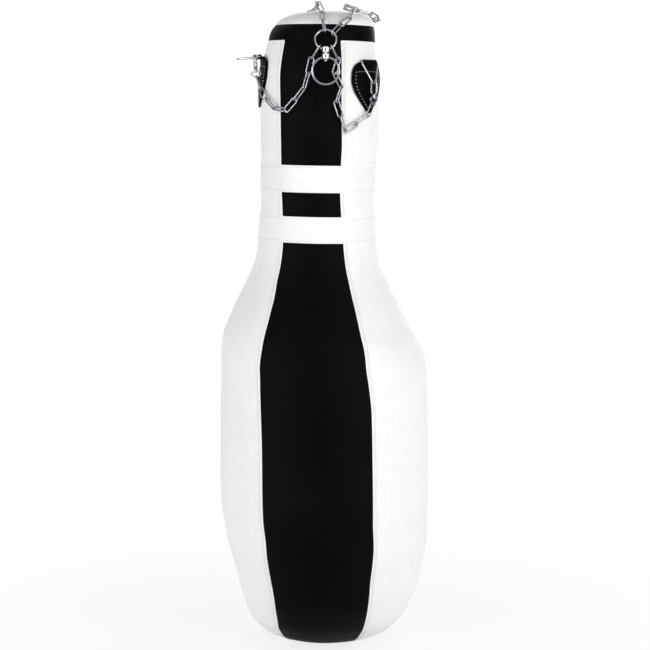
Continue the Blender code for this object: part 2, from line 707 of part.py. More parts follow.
def gather_frame():
    """Centre of the gathering ring, its up direction and its facing."""
    tilt = math.radians(GATHER_TILT)
    up = Vector((0, math.sin(tilt), math.cos(tilt)))
    facing = Vector((0, -math.cos(tilt), math.sin(tilt)))
    bottom = Vector((HANGER_X, -HANGER_REACH, GATHER_WIRE_Z))
    return bottom + up * GATHER_RADIUS, up, facing


def catmull(points, per_span=12):
    """Smooth curve through points, as a dense list."""
    ends = [points[0] * 2 - points[1]] + points + [points[-1] * 2 - points[-2]]
    dense = []
    for i in range(1, len(ends) - 2):
        a, b, c, d = ends[i - 1:i + 3]
        for k in range(per_span):
            t = k / per_span
            dense.append(0.5 * (2 * b + (c - a) * t + (2 * a - 5 * b + 4 * c - d) * t * t
                                + (3 * b - a - 3 * c + d) * t ** 3))
    dense.append(points[-1])
    return dense


def route(corner, start, end, slack):
    points = [start]
    if corner in ROUTES:
        for azimuth, drop, standoff, share in ROUTES[corner]:
            points.append(on_bag(azimuth, BAG_HEIGHT - drop - slack * share, standoff)[0])
    else:
        for x, y, standoff, side, lift in CROWN_ROUTES[corner]:
            x += slack * side
            z = crown_height(math.hypot(x, y))
            azimuth = math.degrees(math.atan2(x, -y))
            points.append(on_bag(azimuth, z, standoff + abs(slack) * lift)[0])
    points.append(end)
    return catmull(points)


def walk(curve, chords):
    """Points at fixed chords along a curve, and the length left over."""
    found = [curve[0]]
    index = 1
    here = curve[0]
    last = curve[0]
    for chord in chords:
        while index < len(curve) and (curve[index] - here).length < chord:
            last = curve[index]
            index += 1
        if index >= len(curve):
            step = (curve[-1] - curve[-2]).normalized()
            here = here + step * chord
        else:
            a, b = last, curve[index]
            for _ in range(30):
                mid = (a + b) / 2
                if (mid - here).length < chord:
                    a = mid
                else:
                    b = mid
            here = (a + b) / 2
            last = here
        found.append(here)
    rest = sum((curve[i] - curve[i - 1]).length for i in range(index + 1, len(curve)))
    if index < len(curve):
        rest += (curve[index] - here).length
    else:
        rest = -(here - curve[-1]).length
    return found, rest


def nearest_normal(point):
    """Outward normal of the bag near a point."""
    z = min(max(point.z, 0.02), BAG_HEIGHT - 0.001)
    reach = math.hypot(point.x - bag_lean(z), point.y)
    azimuth = math.degrees(math.atan2(point.x - bag_lean(z), -point.y))
    if point.z > BAND_LOW_Z and reach < BAND_LOW_RADIUS:
        z = crown_height(max(reach, 0.004))
    return on_bag(azimuth, z)[1]


def chain_places(corner):
    """Start and end centres and the width direction of every link of a chain."""
    centre, up, facing = gather_frame()
    a = math.radians(RING_ANGLE[corner])
    spoke = Vector((1, 0, 0)) * math.cos(a) + up * math.sin(a)
    ring_wire = centre + spoke * GATHER_RADIUS
    ring_tangent = facing.cross(spoke)
    jaw, held, axis = hook_frame(corner)
    bow_wire = jaw + axis * HOOK_LENGTH
    bow_tangent = (held - axis * held.dot(axis)).normalized()
    count = LINK_COUNT[corner]
    span = LINK_PITCH + LINK_PLAY + LINK_WIRE
    gaps = [(GATHER_WIRE + LINK_WIRE) / 2 + LINK_PLAY]
    gaps += [LINK_WIRE + LINK_PLAY] * (count - 1)
    gaps += [(LINK_WIRE + BOW_WIRE) / 2 + LINK_PLAY]
    chords = [span - LINK_WIRE - LINK_PLAY] * count
    pulls = [spoke] + [None] * (count - 1) + [-axis]
    places = []
    for _ in range(5):
        first = ring_wire - pulls[0] * (gaps[0] / 2)
        last = bow_wire + pulls[-1] * (gaps[-1] / 2)
        low, high = -0.045, 0.045
        for _ in range(20):
            slack = (low + high) / 2
            knots, rest = walk(route(corner, first, last, slack), chords)
            if rest > 0:
                high = slack
            else:
                low = slack
        knots[-1] = last
        along = [(knots[i + 1] - knots[i]).normalized() for i in range(count)]
        widths = []
        for i in range(count):
            normal = nearest_normal((knots[i] + knots[i + 1]) / 2)
            flat = along[i].cross(normal).normalized()
            rise = flat.cross(along[i]).normalized()
            roll = math.radians(ROLLS[corner][i])
            width = flat * math.cos(roll) + rise * math.sin(roll)
            if i == 0:
                base = (facing - along[0] * facing.dot(along[0])).normalized()
                turn = math.radians(FIRST_TURN[corner])
                width = base * math.cos(turn) + along[0].cross(base) * math.sin(turn)
            if i == count - 1:
                side = bow_tangent - along[i] * bow_tangent.dot(along[i])
                width = along[i].cross(side.normalized())
            widths.append(width)
        wires = [ring_tangent] + widths + [bow_tangent]
        for i in range(count + 1):
            pull = wires[i].cross(wires[i + 1]).normalized()
            guide = Vector((0, 0, 0))
            if i > 0:
                guide += along[i - 1]
            if i < count:
                guide += along[i]
            if i == 0:
                guide += spoke
            if i == count:
                guide -= axis
            pulls[i] = pull if pull.dot(guide) > 0 else -pull
        places = []
        for i in range(count):
            start = knots[i] - pulls[i] * (gaps[i] / 2)
            end = knots[i + 1] + pulls[i + 1] * (gaps[i + 1] / 2)
            places.append((start, end, widths[i]))
            chords[i] += span - (end - start).length
    return places


def make_chain(corner, mesh, parts, material):
    for index, (start, end, width) in enumerate(chain_places(corner)):
        z_axis = (end - start).normalized()
        x_axis = (width - z_axis * width.dot(z_axis)).normalized()
        y_axis = z_axis.cross(x_axis)
        name = "link_%s_%02d" % (corner, index + 1)
        obj = new_object(name, mesh, parts, material)
        obj.matrix_world = frame_matrix((start + end) / 2, x_axis, y_axis, z_axis)


def eye_cutter(name, wire, ring_radius):
    """Hourglass hole for a curved wire, along X."""
    throat = wire / 2 + EYE_PLAY
    reach = BARREL_RADIUS + EYE_OVERRUN
    mouth = wire / 2 + EYE_PLAY + reach ** 2 / (2 * ring_radius)
    profile = [(0, reach), (mouth, reach)]
    for share in (0.75, 0.5, 0.25):
        profile.append((throat + (mouth - throat) * share ** 1.4, reach * share))
    profile += [(r, -h) for r, h in profile[:1:-1]]
    profile += [(mouth, -reach), (0, -reach)]
    mesh = turned_mesh(name, profile, 18)
    mesh.transform(Matrix.Rotation(math.radians(90), 4, 'Y'))
    return mesh


def barrel_profile(low, high, extra=()):
    r = BARREL_RADIUS
    edge = BARREL_EDGE
    return [(0, high), (r - edge, high), (r - edge * 0.3, high - edge * 0.3),
            (r, high - edge), (r, low + edge), (r - edge * 0.3, low + edge * 0.3),
            (r - edge, low)] + list(extra) + [(0, low - (NIPPLE_LENGTH if extra else 0))]


def make_swivel(parts, tools, material):
    origin = Vector((HANGER_X, -HANGER_REACH, 0))
    upper_z = GATHER_WIRE_Z
    low, high = UPPER_BARREL
    mesh = turned_mesh("swivel_upper", barrel_profile(low - upper_z, high - upper_z), 20)
    upper = new_object("swivel_upper", mesh, parts, material)
    upper.location = origin + Vector((0, 0, upper_z))
    eye = make_tool("upper_eye", eye_cutter("upper_eye", GATHER_WIRE, GATHER_RADIUS),
                    Matrix.Translation(upper.location), tools)
    add_boolean(upper, eye, 'DIFFERENCE')
    top = LOWER_BARREL[1]
    head_top = top - PIN_NECK - PIN_PLAY
    head_low = head_top - PIN_HEAD
    root = low + PIN_ROOT
    pin = turned_mesh("pin", [(0, root), (PIN_RADIUS, root),
                              (PIN_RADIUS, head_top), (PIN_HEAD_RADIUS, head_top),
                              (PIN_HEAD_RADIUS, head_low), (0, head_low)], 16)
    add_boolean(upper, make_tool("pin", pin, Matrix.Translation(origin), tools), 'UNION')

    lower_z = CEILING_WIRE_Z
    low, high = LOWER_BARREL
    end = low - lower_z
    extra = [(NIPPLE_RADIUS, end), (NIPPLE_RADIUS * 0.85, end - NIPPLE_LENGTH * 0.73)]
    mesh = turned_mesh("swivel_lower", barrel_profile(low - lower_z, high - lower_z, extra), 20)
    lower = new_object("swivel_lower", mesh, parts, material)
    lower.location = origin + Vector((0, 0, lower_z))
    eye = make_tool("lower_eye", eye_cutter("lower_eye", CEILING_WIRE, CEILING_RADIUS),
                    Matrix.Translation(lower.location), tools)
    add_boolean(lower, eye, 'DIFFERENCE')
    bore = PIN_RADIUS + PIN_PLAY
    pocket = PIN_HEAD_RADIUS + PIN_PLAY
    mouth, neck = top + PIN_MOUTH, top - PIN_NECK
    seat = turned_mesh("pin_seat", [(0, mouth), (bore, mouth), (bore, neck),
                                    (pocket, neck), (pocket, head_low - PIN_PLAY),
                                    (0, head_low - PIN_PLAY)], 16)
    add_boolean(lower, make_tool("pin_seat", seat, Matrix.Translation(origin), tools),
                'DIFFERENCE')


def ring_mesh(name, radius, wire, segments):
    points = [Vector((radius * math.cos(2 * math.pi * i / segments), 0,
                      radius * math.sin(2 * math.pi * i / segments)))
              for i in range(segments)]
    return tube_mesh(name, points, wire, 8)


def main():
    for obj in list(bpy.data.objects):
        bpy.data.objects.remove(obj)
    scene = bpy.context.scene
    parts = bpy.data.collections.new("punching_bag")
    tools = bpy.data.collections.new("cutters")
    scene.collection.children.link(parts)
    scene.collection.children.link(tools)

    white = make_material("white_leather", WHITE, 0.42)
    black = make_material("black_leather", BLACK, 0.40)
    filling = make_material("filling", (0.35, 0.33, 0.30, 1), 0.9)
    steel = make_material("bright_steel", (0.62, 0.63, 0.65, 1), 0.22, 1.0)
    zinc = make_material("zinc", (0.75, 0.76, 0.78, 1), 0.25, 1.0)

    core_rows = COVER_ROWS[2:] + between(BAND_LOW_Z, BAND_HIGH_Z, (0.5, 1)) + CAP_ROWS[1:]
    inside = COVER_THICKNESS + SEAM_GAP
    new_object("filling", solid_of_rows("filling", core_rows, -inside), parts, filling)

    def sides(z):
        left, right = stripe_edges(z)
        gap = math.degrees(SEAM_GAP / 2 / bag_radius(z))
        angles = columns(z)[STRIPE_COLUMNS:]
        return [right + gap] + angles[1:] + [left + 360.0 - gap]

    def stripe(z):
        left, right = stripe_edges(z)
        gap = math.degrees(SEAM_GAP / 2 / bag_radius(z))
        angles = columns(z)[:STRIPE_COLUMNS]
        return [left + gap] + angles[1:] + [right - gap]

    rows = COVER_ROWS[:-1] + [BAND_LOW_Z - SEAM_GAP]
    new_object("side_panels",
               skin_mesh("side_panels", rows, sides, 0.0, -COVER_THICKNESS, False),
               parts, white)
    new_object("front_stripe",
               skin_mesh("front_stripe", rows, stripe, 0.0, -COVER_THICKNESS, False),
               parts, black)
    band_rows = between(BAND_LOW_Z, BAND_HIGH_Z - SEAM_GAP, (0, 0.5, 1))
    new_object("top_band",
               skin_mesh("top_band", band_rows, columns, TOP_BAND_PROUD,
                         TOP_BAND_PROUD - COVER_THICKNESS, True), parts, black)
    new_object("top_cap", solid_of_rows("top_cap", CAP_ROWS, 0.0, COVER_THICKNESS),
               parts, white)
    for name, (low, high) in (("neck_band_lower", NECK_BAND_LOW),
                              ("neck_band_upper", NECK_BAND_HIGH)):
        new_object(name, skin_mesh(name, [low, high], columns,
                                   SEAM_GAP + NECK_BAND_THICKNESS, SEAM_GAP, True),
                   parts, white)
    new_object("foot_disc", foot_mesh(), parts, white)

    link = link_mesh()
    delta = delta_mesh()
    hook = hook_mesh(scene.collection)
    for corner in PATCH_AZIMUTHS:
        make_patch(corner, parts, tools, black)
        centre, along, out, reach = delta_frame(corner)
        ring = new_object("delta_ring_" + corner, delta, parts, steel)
        ring.matrix_world = frame_matrix(centre, along, reach.cross(along), reach)
        jaw, held, axis = hook_frame(corner)
        wire = (held - axis * held.dot(axis)).normalized()
        piece = new_object("snap_hook_" + corner, hook, parts, steel)
        piece.matrix_world = frame_matrix(jaw, wire.cross(axis), wire, axis)
        make_chain(corner, link, parts, steel)

    centre, up, facing = gather_frame()
    gather = new_object("gathering_ring",
                        ring_mesh("gathering_ring", GATHER_RADIUS, GATHER_WIRE, 30),
                        parts, steel)
    x_axis = Vector((1, 0, 0))
    gather.matrix_world = frame_matrix(centre, x_axis, up.cross(x_axis), up)
    make_swivel(parts, tools, zinc)
    ceiling = new_object("ceiling_ring",
                         ring_mesh("ceiling_ring", CEILING_RADIUS, CEILING_WIRE, 34),
                         parts, steel)
    hang = Matrix.Translation((0, 0, -CEILING_RADIUS))
    ceiling.data.transform(hang)
    ceiling.location = (HANGER_X, -HANGER_REACH, CEILING_WIRE_Z)


main()
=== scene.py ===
"""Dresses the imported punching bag: leather cover, seams, stitching, chains and swivel.

Run as a script after the part has been packed. Metres, +Z up, the bag's front facing -Y.
An azimuth is in degrees round the bag, from its front towards +X.
"""
import bisect
import contextlib
import json
import math

import bmesh
import bpy
import numpy as np
from mathutils import Matrix, Vector, noise


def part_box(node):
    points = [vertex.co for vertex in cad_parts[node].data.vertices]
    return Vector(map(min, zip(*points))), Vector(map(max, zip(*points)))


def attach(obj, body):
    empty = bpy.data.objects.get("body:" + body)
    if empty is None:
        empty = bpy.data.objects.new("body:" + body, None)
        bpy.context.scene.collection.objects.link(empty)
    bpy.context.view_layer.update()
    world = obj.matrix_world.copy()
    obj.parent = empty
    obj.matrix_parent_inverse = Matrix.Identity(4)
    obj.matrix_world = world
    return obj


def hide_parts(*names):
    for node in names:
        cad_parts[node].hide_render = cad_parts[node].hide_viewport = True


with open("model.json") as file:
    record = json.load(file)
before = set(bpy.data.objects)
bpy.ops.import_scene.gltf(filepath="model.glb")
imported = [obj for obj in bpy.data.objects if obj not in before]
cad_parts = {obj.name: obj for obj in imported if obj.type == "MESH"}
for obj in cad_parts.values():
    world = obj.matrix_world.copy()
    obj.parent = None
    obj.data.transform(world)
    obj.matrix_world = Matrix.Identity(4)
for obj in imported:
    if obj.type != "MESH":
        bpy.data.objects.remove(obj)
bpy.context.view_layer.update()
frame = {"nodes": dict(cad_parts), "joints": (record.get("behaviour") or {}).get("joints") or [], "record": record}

bl_info = {
    "name": "Punching bag dressing",
    "version": (1, 0, 0),
    "blender": (4, 5, 0),
    "location": "3D View > Sidebar > Bag",
    "description": "Builds the leather, stitching and plated hanger of a pin-shaped heavy bag",
    "category": "Object",
}

NODES = frame["nodes"]
BODY_OF = {name: body for body, members in frame["record"]["behaviour"]["bodies"].items()
           for name in members}
JOINTS = {joint["name"]: joint for joint in frame["joints"]}
CORNERS = ("front_left", "front_right", "rear_left", "rear_right")
X, Y, Z = Vector((1, 0, 0)), Vector((0, 1, 0)), Vector((0, 0, 1))

# The bag's outline, as the part has it: (height, radius) from the foot to the cap's tip
BAG_HEIGHT = 1.300
FOOT_RADIUS = 0.095
BAND_LOW_Z = 1.2415
BAND_HIGH_Z = 1.2735
STATIONS = [(0.0, FOOT_RADIUS), (0.325, 0.2188), (0.496, 0.2166), (0.935, 0.1184),
            (1.130, 0.1250), (BAND_LOW_Z, 0.1102), (BAND_HIGH_Z, 0.1010), (BAG_HEIGHT, 0.0)]
# From each station to the next, shares of the climb and of the change in radius
SHARES = [
    [(0.009, 0.121), (0.025, 0.234), (0.049, 0.347), (0.086, 0.444), (0.129, 0.549),
     (0.203, 0.638), (0.283, 0.715), (0.443, 0.828), (0.683, 0.957), (1, 1)],
    [(0.5, 0.35), (1, 1)],
    [(0.194, 0.031), (0.251, 0.061), (0.308, 0.127), (0.365, 0.239), (0.421, 0.356),
     (0.481, 0.484), (0.538, 0.621), (0.595, 0.743), (0.652, 0.855), (0.708, 0.911),
     (0.765, 0.947), (0.888, 0.988), (1, 1)],
    [(0.318, 0.40), (0.528, 0.83), (1, 1)],
    [(0.27, 0.02), (0.49, 0.17), (0.64, 0.374), (0.753, 0.56), (1, 1)],
    [(0.45, 0.264), (0.89, 0.835), (1, 1)],
    [(0.057, 0.005), (0.245, 0.040), (0.396, 0.089), (0.547, 0.149), (0.698, 0.248),
     (0.849, 0.426), (0.962, 0.663), (1, 1)],
]
# Sideways shift of the stuffed form in millimetres, by share of the height
LEAN_TABLE = [(0, 2), (0.017, 3), (0.051, 8), (0.091, 10), (0.132, 8), (0.171, 5), (0.217, 1),
              (0.316, 0), (0.427, -0.5), (0.466, -5), (0.505, -12), (0.582, -14),
              (0.640, -13), (0.719, -12.5), (0.767, -9), (0.798, -7.4), (0.892, -7.2),
              (0.924, -6), (0.955, -5), (0.971, -2), (0.988, 5), (1, 6)]
# Black stripe by share of the height: azimuth of its middle and half its width
STRIPE_TABLE = [(0, -5, 34.6), (0.05, -5.5, 32.3), (0.11, -5.7, 31.3), (0.148, -5, 31.3),
                (0.185, -4.2, 31.2), (0.32, -4.4, 31.2), (0.385, -5, 31.5),
                (0.446, -6.3, 30.8), (0.50, -3.9, 30.3), (0.55, -3.4, 30.2),
                (0.592, -4.4, 31.2), (0.64, -5.2, 30.7), (0.69, -7.1, 31),
                (0.76, -9.6, 31.4), (0.86, -10.5, 30.8), (0.93, -11, 31.7), (1, -11, 32.2)]
# The sewn seams across the bag as the photograph shows them, falling towards +X
NECK_BANDS = {"lower": (0.8332, 0.8858), "upper": (0.9344, 0.9887)}
SEAM_FALL = 0.016
TOP_SEAM_SHIFT = -0.0038
BACK_SEAM = 172.0           # azimuth of the white panels' joining seam
SLOPE_STEP = 0.0004         # height over which the outline's slope is taken


# The shape of the bag

class Curve:
    """Monotone cubic through (x, y) pairs."""

    def __init__(self, points):
        self.points = points
        rises = [(b[1] - a[1]) / (b[0] - a[0]) for a, b in zip(points, points[1:])]
        self.slopes = [rises[0]]
        for before, after in zip(rises, rises[1:]):
            level = before * after <= 0
            self.slopes.append(0.0 if level else 2 * before * after / (before + after))
        self.slopes.append(rises[-1])

    def __call__(self, x):
        points = self.points
        if x <= points[0][0]:
            return points[0][1]
        if x >= points[-1][0]:
            return points[-1][1]
        i = bisect.bisect_right(points, (x, float("inf"))) - 1
        step = points[i + 1][0] - points[i][0]
        t = (x - points[i][0]) / step
        a, b = points[i][1], points[i + 1][1]
        return (a * (2 * t ** 3 - 3 * t ** 2 + 1) + b * (3 * t ** 2 - 2 * t ** 3)
                + step * (self.slopes[i] * (t ** 3 - 2 * t ** 2 + t)
                          + self.slopes[i + 1] * (t ** 3 - t ** 2)))


def outline_points():
    points = [STATIONS[0]]
    for (low, first), (high, last), shares in zip(STATIONS, STATIONS[1:], SHARES):
        points += [(low + share * (high - low), first + blend * (last - first))
                   for share, blend in shares]
    return points


OUTLINE = Curve(outline_points())
LEAN = Curve(LEAN_TABLE)
STRIPE_MIDDLE = Curve([(row[0], row[1]) for row in STRIPE_TABLE])
STRIPE_HALF = Curve([(row[0], row[2]) for row in STRIPE_TABLE])


def smooth_step(low, high, x):
    t = min(max((x - low) / (high - low), 0.0), 1.0)
    return t * t * (3 - 2 * t)


def bag_radius(z):
    return max(OUTLINE(z), 0.0)


def bag_lean(z):
    return 0.001 * LEAN(z / BAG_HEIGHT)


def radial(azimuth):
    a = math.radians(azimuth)
    return Vector((math.sin(a), -math.cos(a), 0.0))


def bag_normal(azimuth, z):
    low, high = max(z - SLOPE_STEP, 0.0), min(z + SLOPE_STEP, BAG_HEIGHT)
    slope = (bag_radius(high) - bag_radius(low)) / (high - low)
    return (radial(azimuth) - Vector((0, 0, slope))).normalized()


def on_bag(azimuth, z, standoff=0.0):
    """Point at a distance from the bag's outline."""
    centre = Vector((bag_lean(z), 0.0, z))
    return centre + radial(azimuth) * bag_radius(z) + bag_normal(azimuth, z) * standoff


def stripe_edges(z):
    middle, half = STRIPE_MIDDLE(z / BAG_HEIGHT), STRIPE_HALF(z / BAG_HEIGHT)
    return middle - half, middle + half


def across(azimuth, z):
    """Height of a seam across the bag, which falls a little towards +X."""
    return z - SEAM_FALL * bag_radius(z) * math.sin(math.radians(azimuth))


def top_seam(azimuth, z):
    """Height of a row of the cover, drawn down with the two seams of the top band."""
    near = smooth_step(BAND_LOW_Z - 0.070, BAND_LOW_Z - 0.012, z)
    near *= 1.0 - smooth_step(BAND_HIGH_Z + 0.003, BAG_HEIGHT - 0.003, z)
    return z + near * (TOP_SEAM_SHIFT + across(azimuth, z) - z)


# What a user would change

def length(label, meaning, default, least, most):
    return bpy.props.FloatProperty(name=label, description=meaning, default=default,
                                   min=least, max=most, unit='LENGTH', precision=4)


def colour(label, meaning, default):
    return bpy.props.FloatVectorProperty(name=label, description=meaning, default=default,
                                         min=0.0, max=1.0, subtype='COLOR')


class BagSizes(bpy.types.PropertyGroup):
    """Sizes of the dressed bag."""
    pebble: length("Leather pebble", "Width of one pebble of the leather's grain",
                   0.0012, 0.0003, 0.01)
    neck_ease: length("Neck ease", "How far the cover lies inside the outline at the neck",
                      0.0008, 0.0, 0.003)
    belly_ease: length("Belly ease", "How far the cover lies inside the outline at the belly",
                       0.0010, 0.0, 0.006)
    swell: length("Swell", "Most that the stuffed cover may swell between its seams",
                  0.0030, 0.0, 0.02)
    seam_depth: length("Seam depth", "How deep the sewn seams pull into the cover",
                       0.0020, 0.0, 0.006)
    leather: length("Leather thickness", "Thickness of the cover's coated leather",
                    0.0014, 0.0005, 0.004)
    welt: length("Welt diameter", "Diameter of the welt sewn into the stripe's seams",
                 0.0024, 0.001, 0.006)
    stitch: length("Stitch length", "Length of thread showing in one stitch",
                   0.0034, 0.001, 0.01)
    stitch_gap: length("Stitch gap", "Gap between two stitches", 0.0016, 0.0005, 0.01)
    thread: length("Thread diameter", "Diameter of the sewing thread",
                   0.0009, 0.0003, 0.003)
    link_wire: length("Link wire", "Wire diameter of the chain links", 0.0032, 0.002, 0.005)
    ring_wire: length("Ring wire", "Wire diameter of the gathering ring",
                      0.0038, 0.002, 0.006)


class BagColours(bpy.types.PropertyGroup):
    """Colours of the dressed bag."""
    white: colour("White leather", "Coated leather of the sides, cap and bands",
                  (0.875, 0.875, 0.865))
    black: colour("Black leather", "Coated leather of the stripe, band and patches",
                  (0.0008, 0.0009, 0.0014))
    grime: colour("Handling grime", "Tone of the handling marks on the white leather",
                  (0.62, 0.61, 0.57))
    scuff: colour("Scuff", "Tone of the scuffs on the black leather", (0.010, 0.0105, 0.014))
    grey_thread: colour("Grey thread", "Thread on the black patches", (0.62, 0.63, 0.66))
    white_thread: colour("White thread", "Thread on the white panels", (0.72, 0.72, 0.70))
    # Set far darker than bright zinc: painted shade that stands in for the dark surroundings that the wires
    # mirror.
    steel: colour("Plated steel", "Plating of the chains, rings and hooks",
                  (0.33, 0.335, 0.37))
    barrel: colour("Swivel steel", "Plating of the swivel's barrels", (0.70, 0.71, 0.73))
    floor: colour("Floor", "The plain pale floor", (0.86, 0.86, 0.86))


def sizes():
    return bpy.context.scene.bag_sizes


def colours():
    return bpy.context.scene.bag_colours


# Bench tools: selecting, bending, turning, cutting

MERGE_DISTANCE = 0.00002


def clear_selection():
    if bpy.context.mode != 'OBJECT':
        bpy.ops.object.mode_set(mode='OBJECT')
    bpy.ops.object.select_all(action='DESELECT')


def take(obj):
    """Makes obj the only selected object, ready for an operator."""
    clear_selection()
    obj.select_set(True)
    bpy.context.view_layer.objects.active = obj


@contextlib.contextmanager
def editing(obj):
    """Edit mode on one object, with all of it selected."""
    take(obj)
    bpy.ops.object.mode_set(mode='EDIT')
    bpy.ops.mesh.select_all(action='SELECT')
    yield
    bpy.ops.object.mode_set(mode='OBJECT')


def pick(obj, test):
    """In edit mode, selects the vertices that pass a test on their place."""
    bpy.ops.mesh.select_mode(type='VERT')
    bpy.ops.mesh.select_all(action='DESELECT')
    bm = bmesh.from_edit_mesh(obj.data)
    for vert in bm.verts:
        vert.select = bool(test(vert.co))
    bm.select_flush(True)
    bmesh.update_edit_mesh(obj.data)


def extrude(step):
    bpy.ops.mesh.extrude_region_move(TRANSFORM_OT_translate={"value": step})


def face_outwards(merge=True):
    """In edit mode, closes the seams of the mesh and turns its faces outwards."""
    bpy.ops.mesh.select_all(action='SELECT')
    if merge:
        bpy.ops.mesh.remove_doubles(threshold=MERGE_DISTANCE)
    bpy.ops.mesh.normals_make_consistent(inside=False)


def primitive(name, add, **shape):
    """A new primitive with its place in its mesh."""
    clear_selection()
    add(**shape)
    obj = bpy.context.object
    obj.name = name
    bpy.ops.object.transform_apply(location=True, rotation=True, scale=True)
    return obj


def add_object(name, data):
    obj = bpy.data.objects.new(name, data)
    bpy.context.scene.collection.objects.link(obj)
    return obj


def object_of(bm, name):
    """Object with the mesh of a bmesh, which is freed."""
    mesh = bpy.data.meshes.new(name)
    bm.to_mesh(mesh)
    bm.free()
    return add_object(name, mesh)


def bend_wire(name, wire, sides, start, heading, moves, closed=True):
    """Round wire run straight and turned round corners, as in a bending jig.

    A move is ("run", length) or ("turn", radius, degrees, axis, steps).
    """
    obj = primitive(name, bpy.ops.mesh.primitive_circle_add, vertices=sides, radius=wire / 2,
                    fill_type='NOTHING', location=start,
                    rotation=heading.to_track_quat('Z', 'X').to_euler())
    here, way = Vector(start), Vector(heading).normalized()
    with editing(obj):
        for kind, *move in moves:
            if kind == "run":
                extrude(way * move[0])
                here = here + way * move[0]
            else:
                radius, degrees, axis, steps = move
                centre = here + axis.cross(way) * radius
                bpy.ops.mesh.spin(steps=steps, angle=-math.radians(degrees), center=centre,
                                  axis=axis)
                rotation = Matrix.Rotation(math.radians(degrees), 3, axis)
                here = centre + rotation @ (here - centre)
                way = rotation @ way
        for end in () if closed else (Vector(start), here):
            pick(obj, lambda co: (co - end).length < wire * 0.52)
            bpy.ops.mesh.edge_face_add()
        face_outwards(merge=closed)
    return obj


def bent_triangle(name, wire, sides, half, depth, corner, nose):
    """Wire bent to a rounded triangle: its bar on X through the origin, its nose at +Z."""
    bar = half - corner
    rise = depth - nose - corner
    lean = math.acos((corner - nose) / math.hypot(bar, rise)) - math.atan2(bar, rise)
    leg = bar * math.cos(lean) + rise * math.sin(lean)
    turn = 180.0 - math.degrees(lean)
    return bend_wire(name, wire, sides, Vector((-bar, 0, 0)), X,
                     [("run", 2 * bar), ("turn", corner, turn, -Y, 6), ("run", leg),
                      ("turn", nose, 2 * math.degrees(lean), -Y, 14), ("run", leg),
                      ("turn", corner, turn, -Y, 6)])


def turned(name, profile, steps, axis_at=(0, 0)):
    """Lathe work: a profile of (radius, height) pairs spun round an upright axis."""
    obj = primitive(name, bpy.ops.mesh.primitive_plane_add, size=0.001)
    with editing(obj):
        bpy.ops.mesh.merge(type='CENTER')
        bpy.ops.mesh.select_all(action='SELECT')
        bpy.ops.transform.translate(value=(profile[0][0], 0, profile[0][1]))
        for before, after in zip(profile, profile[1:]):
            extrude((after[0] - before[0], 0, after[1] - before[1]))
        bpy.ops.mesh.select_all(action='SELECT')
        bpy.ops.mesh.spin(steps=steps, angle=math.radians(360), center=(0, 0, 0), axis=Z)
        face_outwards()
        bpy.ops.transform.translate(value=(*axis_at, 0))
    return obj


def modify(obj, kind, **settings):
    """Adds a modifier and applies it."""
    take(obj)
    modifier = obj.modifiers.new(kind.lower(), kind)
    for key, value in settings.items():
        setattr(modifier, key, value)
    bpy.ops.object.modifier_apply(modifier=modifier.name)


def join(name, pieces):
    """One object of several."""
    clear_selection()
    for piece in pieces:
        piece.select_set(True)
    bpy.context.view_layer.objects.active = pieces[0]
    bpy.ops.object.join()
    pieces[0].name = name
    return pieces[0]


# Finding places on the solids, and finishing a piece

JAW_EDGE = 0.0013    # from the middle of the jaw's wire to the end of the solid hook


def coordinates(mesh):
    flat = np.empty(len(mesh.vertices) * 3)
    mesh.vertices.foreach_get("co", flat)
    return flat.reshape(-1, 3)


def solid_points(name):
    return np.unique(np.round(coordinates(NODES[name].data), 6), axis=0)


def solid_box(name):
    return [Vector(corner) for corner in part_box(name)]


def joint_place(name):
    return Vector(JOINTS[name]["pos_m"])


def joint_axis(name):
    return Vector(JOINTS[name]["axis"]).normalized()


def frame_matrix(origin, x_axis, y_axis, z_axis):
    rotation = Matrix((x_axis, y_axis, z_axis)).transposed()
    return Matrix.Translation(origin) @ rotation.to_4x4()


def own_axes(name):
    """Points of a solid, their middle, and its thin, wide and long directions."""
    points = solid_points(name)
    middle = points.mean(axis=0)
    vectors = np.linalg.eigh(np.cov((points - middle).T))[1]
    return points, Vector(middle), [Vector(vectors[:, i]) for i in range(3)]


def link_matrix(name):
    """Place of a chain link: its width on X and its length on Z."""
    _, middle, (_, wide, long_way) = own_axes(name)
    return frame_matrix(middle, wide, long_way.cross(wide), long_way)


def delta_middle(corner):
    return Vector(solid_points("delta_ring_" + corner).mean(axis=0))


def delta_matrix(corner):
    """Place of a delta ring: its bar on X through its joint, its nose towards Z."""
    joint = "delta_swing_" + corner
    bar, along = joint_place(joint), joint_axis(joint)
    reach = delta_middle(corner) - bar
    reach = (reach - along * reach.dot(along)).normalized()
    return frame_matrix(bar, along, reach.cross(along), reach)


def hook_matrix(corner):
    """Place of a snap hook: jaw wire at the origin, bow at the far end of Z, its loop on X."""
    points, middle, (_, _, long_way) = own_axes("snap_hook_" + corner)
    if (delta_middle(corner) - middle).dot(long_way) > 0:
        long_way = -long_way
    local = points - np.array(middle)
    along = local @ np.array(long_way)
    away = local - np.outer(along, np.array(long_way))
    bow = away[along > along.max() * 0.6]
    bow_side = Vector(np.linalg.eigh(np.cov(bow.T))[1][:, 2])
    jaw = middle + long_way * (float(along.min()) + JAW_EDGE)
    return frame_matrix(jaw, bow_side.cross(long_way), bow_side, long_way)


def finish(obj, slot, stands_for=(), angle=40.0, material=None):
    """Names, shades, paints and fixes a finished piece to its body."""
    obj.data.name = obj.name
    take(obj)
    bpy.ops.object.shade_smooth_by_angle(angle=math.radians(angle))
    obj.data.materials.clear()
    obj.data.materials.append(material or FINISHES[slot]())
    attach(obj, BODY_OF[stands_for[0]] if stands_for else "bag")
    if stands_for:
        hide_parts(*stands_for)


